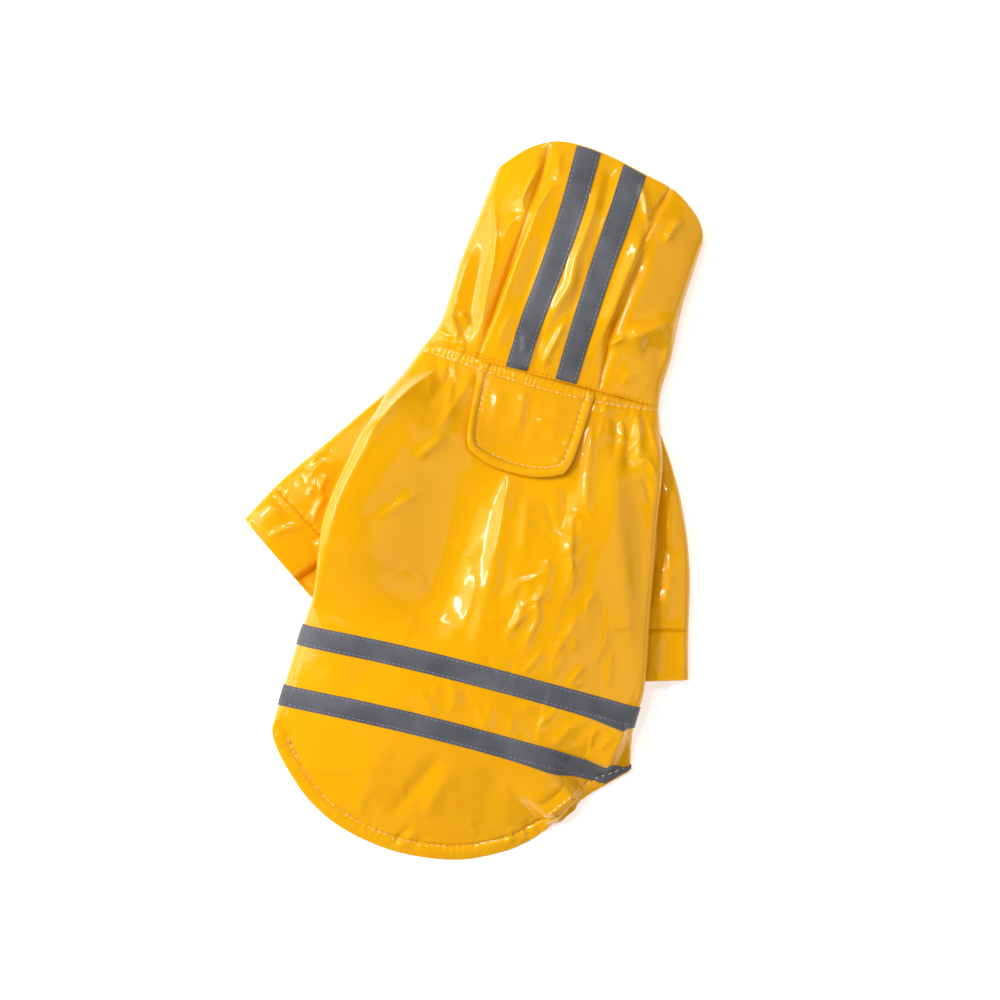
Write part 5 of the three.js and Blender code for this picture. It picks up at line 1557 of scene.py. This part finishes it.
@dataclass
class Sleeve:
    """A short sleeve and its cuff: a flattened tube that lies out from the armhole."""

    side: Side
    table: Array
    creases: list[Crease]
    finishes: Finishes

    def ring(self, t: Array) -> tuple[Array, Array]:
        """Sections at the stations t, each a closed ring round both folded edges.

        Formula: half circles at the two edges, an arch of power 2.4 between them above, and flat below.

        Args:
            t: stations, 0 at the armhole and 1 at the cuff's end.

        Returns:
            Grid of points, and how much relief each column takes.
        """
        row = rows_at(self.table, t)
        outer, inner = row[:, 1:3], row[:, 3:5]
        crown, ro, ri = (row[:, k][:, None] for k in (5, 6, 7))
        width = np.linalg.norm(inner - outer, axis=1)[:, None]

        def base(a: Array) -> Array:
            """Height of the folded edges' tops, between the two edges."""
            return 2 * mix(ro, ri, a / width)

        def arch(a: Array) -> Array:
            """What the crown adds."""
            return (crown - base(a)) * (1 - np.abs(2 * a / width - 1) ** CROWN_POWER)

        turns = np.linspace(-1, 1, 13)[None, :]
        up = np.where(turns > 0, 1, 0)
        sine, inset = np.sin(turns * math.pi / 2), 1 - np.cos(turns * math.pi / 2)
        a1 = ro * inset
        z1 = ro * (1 + sine) + up * arch(a1)
        a2 = mix(ro, width - ri, np.linspace(0, 1, 76)[None, 1:-1])
        a3 = (width - ri * inset)[:, ::-1]
        z3 = (ri * (1 + sine) + up * arch(width - ri * inset))[:, ::-1]
        a4 = mix(width - ri, ro, np.linspace(0, 1, 38)[None, 1:-1])
        share = np.concatenate([a1, a2, a3, a4], axis=1) / width
        p = mix(outer[:, None, :], inner[:, None, :], share[..., None])
        z = np.concatenate([z1, base(a2) + arch(a2), z3, 0 * a4], axis=1)
        folded = turned_weight(turns[0])
        weight = np.concatenate([folded, np.ones(a2.shape[1]), folded[::-1], np.zeros(a4.shape[1])])
        return np.concatenate([p, z[..., None]], axis=-1), weight

    def seam_line(self, t: float) -> tuple[tuple[float, float], ...]:
        """The line across the sleeve at one station."""
        row = rows_at(self.table, np.array([t]))[0]
        return tuple(map(tuple, mix(row[None, 1:3], row[None, 3:5], np.linspace(-0.02, 1.02, 6)[:, None])))

    def dressed(self, start: float, end: float, count: int) -> Array:
        """A stretch of the sleeve with its relief."""
        grid, weight = self.ring(np.linspace(start, end, count))
        groove = 0.7 if self.side is Side.LEFT else 1.5
        seam = SewnLine(self.seam_line(CUFF_SEAM), groove=groove, groove_width=1.0, pucker=0.25, pitch=3.4,
                        reach=2.4, seed=60 + self.side.value)
        total = relief_of([*self.creases, seam])
        n = normals_of(grid, self.side.value, ring=True)
        return grid + n * (total(grid[..., 0], grid[..., 1]) * weight[None, :])[..., None]

    def build(self) -> None:
        """Makes the sleeve and its cuff."""
        stretches = (("sleeve", 0.0, CUFF_SEAM - CUFF_SEAM_GAP, 121),
                     ("cuff", CUFF_SEAM + CUFF_SEAM_GAP, 1.0, 45))
        for part, start, end, count in stretches:
            cloth_piece(f"{part}_{self.side.name.lower()}", self.dressed(start, end, count), self.finishes,
                        side=self.side.value, ring=True, free=(False, part == "cuff", True, True))


LEFT_SLEEVE_CREASES = creases_of((
    (((-94, -56), (-99, -61), (-103, -67)), 1.5, 0.8, 0, 1.4),
    (((-95, -62), (-99, -68), (-101, -75)), 1.6, 0.6, 0, 1.4),
    (((-92, -70), (-94, -76), (-94, -82)), 1.5, 0.9, 0, 1.4),
    (((-96, -76), (-98.5, -79), (-99, -84)), 1.5, 0.9, 0, 1.4),
    (((-90, -80), (-93, -87), (-93, -96)), 2.0, 1.0, 0, 1.5),
    (((-86, -60), (-88, -74), (-89, -88)), 4.5, -0.8, 0, 1.8),
    (((-97, -98), (-104, -100.5), (-110, -104.5), (-114, -109)), 2.2, 1.0, 0, 1.5),
    (((-111, -90), (-116, -96), (-121, -103)), 8.0, 1.5, 0, 1.9),
    (((-90, -106.5), (-86, -103.5), (-81, -102)), 1.8, 1.2, 0, 1.5),
    (((-80, -111.5), (-84.5, -116), (-90, -122), (-96, -128)), 6.0, -4.5, -1.2, 1.6),
), (
    Wrinkles((-106, -88), (-90, -62), 6, 30, 30, (5, 10), (1.2, 2.2), (0.2, 0.45), 71),
    Wrinkles((-112, -116), (-90, -100), 3, 40, 30, (6, 12), (1.8, 2.8), (0.1, 0.25), 72),
))
RIGHT_SLEEVE_CREASES = creases_of((
    (((72, -26), (76, -40), (80, -54), (82.5, -64)), 6.5, 2.8, 0, 1.8),
    (((83, -64), (86.5, -79), (88.5, -98)), 8.0, 2.2, 0.2, 1.9),
    (((86, -72), (87.5, -82), (87, -94)), 2.0, 0.7, 0, 1.5),
    (((68, -24), (75, -50), (79, -76), (83, -102)), 4.2, -2.0, 0, 1.8),
    (((98, -104), (103, -112), (106, -122)), 2.6, 0.9, 0, 1.6),
    (((92, -106), (95, -116), (96, -126)), 3.0, -0.7, 0, 1.7),
), (Wrinkles((80, -98), (98, -40), 5, 16, 16, (9, 20), (1.8, 3.0), (0.15, 0.35), 73),))


# Stage


# Each light: name, azimuth, elevation, width and height in metres, and radiance.
LIGHTS = (
    ("key_left", 170, 27, (2.4, 2.4), 4.35),
    ("soft_upper_left", 152, 56, (1.6, 1.6), 1.15),
    ("strip_left", 158, 50, (1.0, 0.1), 92),
    ("strip_above", 112, 60, (0.5, 0.1), 84),
    ("fill_right", -15, 46, (3.2, 3.2), 1.1),
    ("fill_above", 90, 42, (3.2, 3.2), 0.22),
    ("fill_below", -90, 42, (3.2, 3.2), 0.25),
)


@dataclass
class Studio:
    """A pale floor, soft lights and the camera straight above, turned as in the photograph."""

    tilt: float = 14.5  # degrees that the coat lies turned in the picture
    middle: tuple[float, float] = (-5.57, -60.3)  # plan point at the picture's centre
    field_mm: float = 500.0
    height_mm: float = 1250.0
    plane_mm: float = 12.0  # height at which that field is measured
    light_distance: float = 3.0
    surroundings: float = 0.145
    floor_half: float = 4.0  # metres
    floor_mm: float = -0.4  # its height, so that the cloth's underside stays clear of it

    def floor(self) -> None:
        """A large pale floor just under the coat."""
        mesh = bpy.data.meshes.new("floor")
        half, z = self.floor_half, self.floor_mm * MM
        mesh.from_pydata([(-half, -half, z), (half, -half, z), (half, half, z), (-half, half, z)], [],
                         [(0, 1, 2, 3)])
        mesh.materials.append(PaleCard().build())
        obj = bpy.data.objects.new("floor", mesh)
        bpy.context.scene.collection.objects.link(obj)

    def light(self, name: str, azimuth: float, elevation: float, size: tuple[float, float],
              radiance: float) -> None:
        """A flat soft light that looks at the coat's middle.

        Formula: the power of a flat light is pi times its area times its radiance.

        Args:
            name: the light's name.
            azimuth: degrees from the picture's right, turning left.
            elevation: degrees above the floor.
            size: width and height in metres.
            radiance: how bright its face is, where a white floor in full light is 1.
        """
        data = bpy.data.lights.new(name, "AREA")
        data.shape = "RECTANGLE"
        data.size, data.size_y = size
        data.energy = math.pi * size[0] * size[1] * radiance
        turn, rise = math.radians(azimuth + self.tilt), math.radians(elevation)
        way = Vector((math.cos(turn) * math.cos(rise), math.sin(turn) * math.cos(rise), math.sin(rise)))
        obj = bpy.data.objects.new(name, data)
        bpy.context.scene.collection.objects.link(obj)
        obj.location = way * self.light_distance
        obj.rotation_euler = way.to_track_quat("Z", "Y").to_euler()

    def build(self) -> None:
        """Makes the floor, the lights, the surroundings and the camera."""
        self.floor()
        scene = bpy.context.scene
        world = bpy.data.worlds.new("studio")
        scene.world = world
        world.use_nodes = True
        set_sockets(world.node_tree.nodes["Background"], {0: linear("#FFFFFF"), 1: self.surroundings})
        for values in LIGHTS:
            self.light(*values)
        scene.view_settings.view_transform = "Standard"
        data = bpy.data.cameras.new("camera")
        distance = self.height_mm * MM
        data.lens = data.sensor_width * distance / (self.field_mm * MM)
        camera = bpy.data.objects.new("camera", data)
        scene.collection.objects.link(camera)
        x, y, _ = PLAN.metres(np.array([*self.middle, 0.0]))
        camera.location = (x, y, distance + self.plane_mm * MM)
        camera.rotation_euler = (0, 0, math.radians(self.tilt))
        scene.camera = camera


def dress_studs(finishes: Finishes) -> None:
    """Gives the press studs their moulded plastic."""
    for name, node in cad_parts.items():
        if name.startswith("press_stud"):
            node.data.materials.clear()
            node.data.materials.append(finishes.stud)
            for polygon in node.data.polygons:
                polygon.material_index = 0
            LOG.info("%s dressed", name)


def main() -> None:
    """Builds the coat's pieces in order, then the stage."""
    logging.basicConfig(level=logging.INFO, format="%(name)s: %(message)s")
    finishes = Finishes.make()
    Body(make_body(), finishes).build()
    Hood(make_hood(), finishes).build()
    Sleeve(Side.LEFT, SLEEVE_LEFT, LEFT_SLEEVE_CREASES, finishes).build()
    Sleeve(Side.RIGHT, SLEEVE_RIGHT, RIGHT_SLEEVE_CREASES, finishes).build()
    dress_studs(finishes)
    Studio().build()


if __name__ == "__main__":
    main()
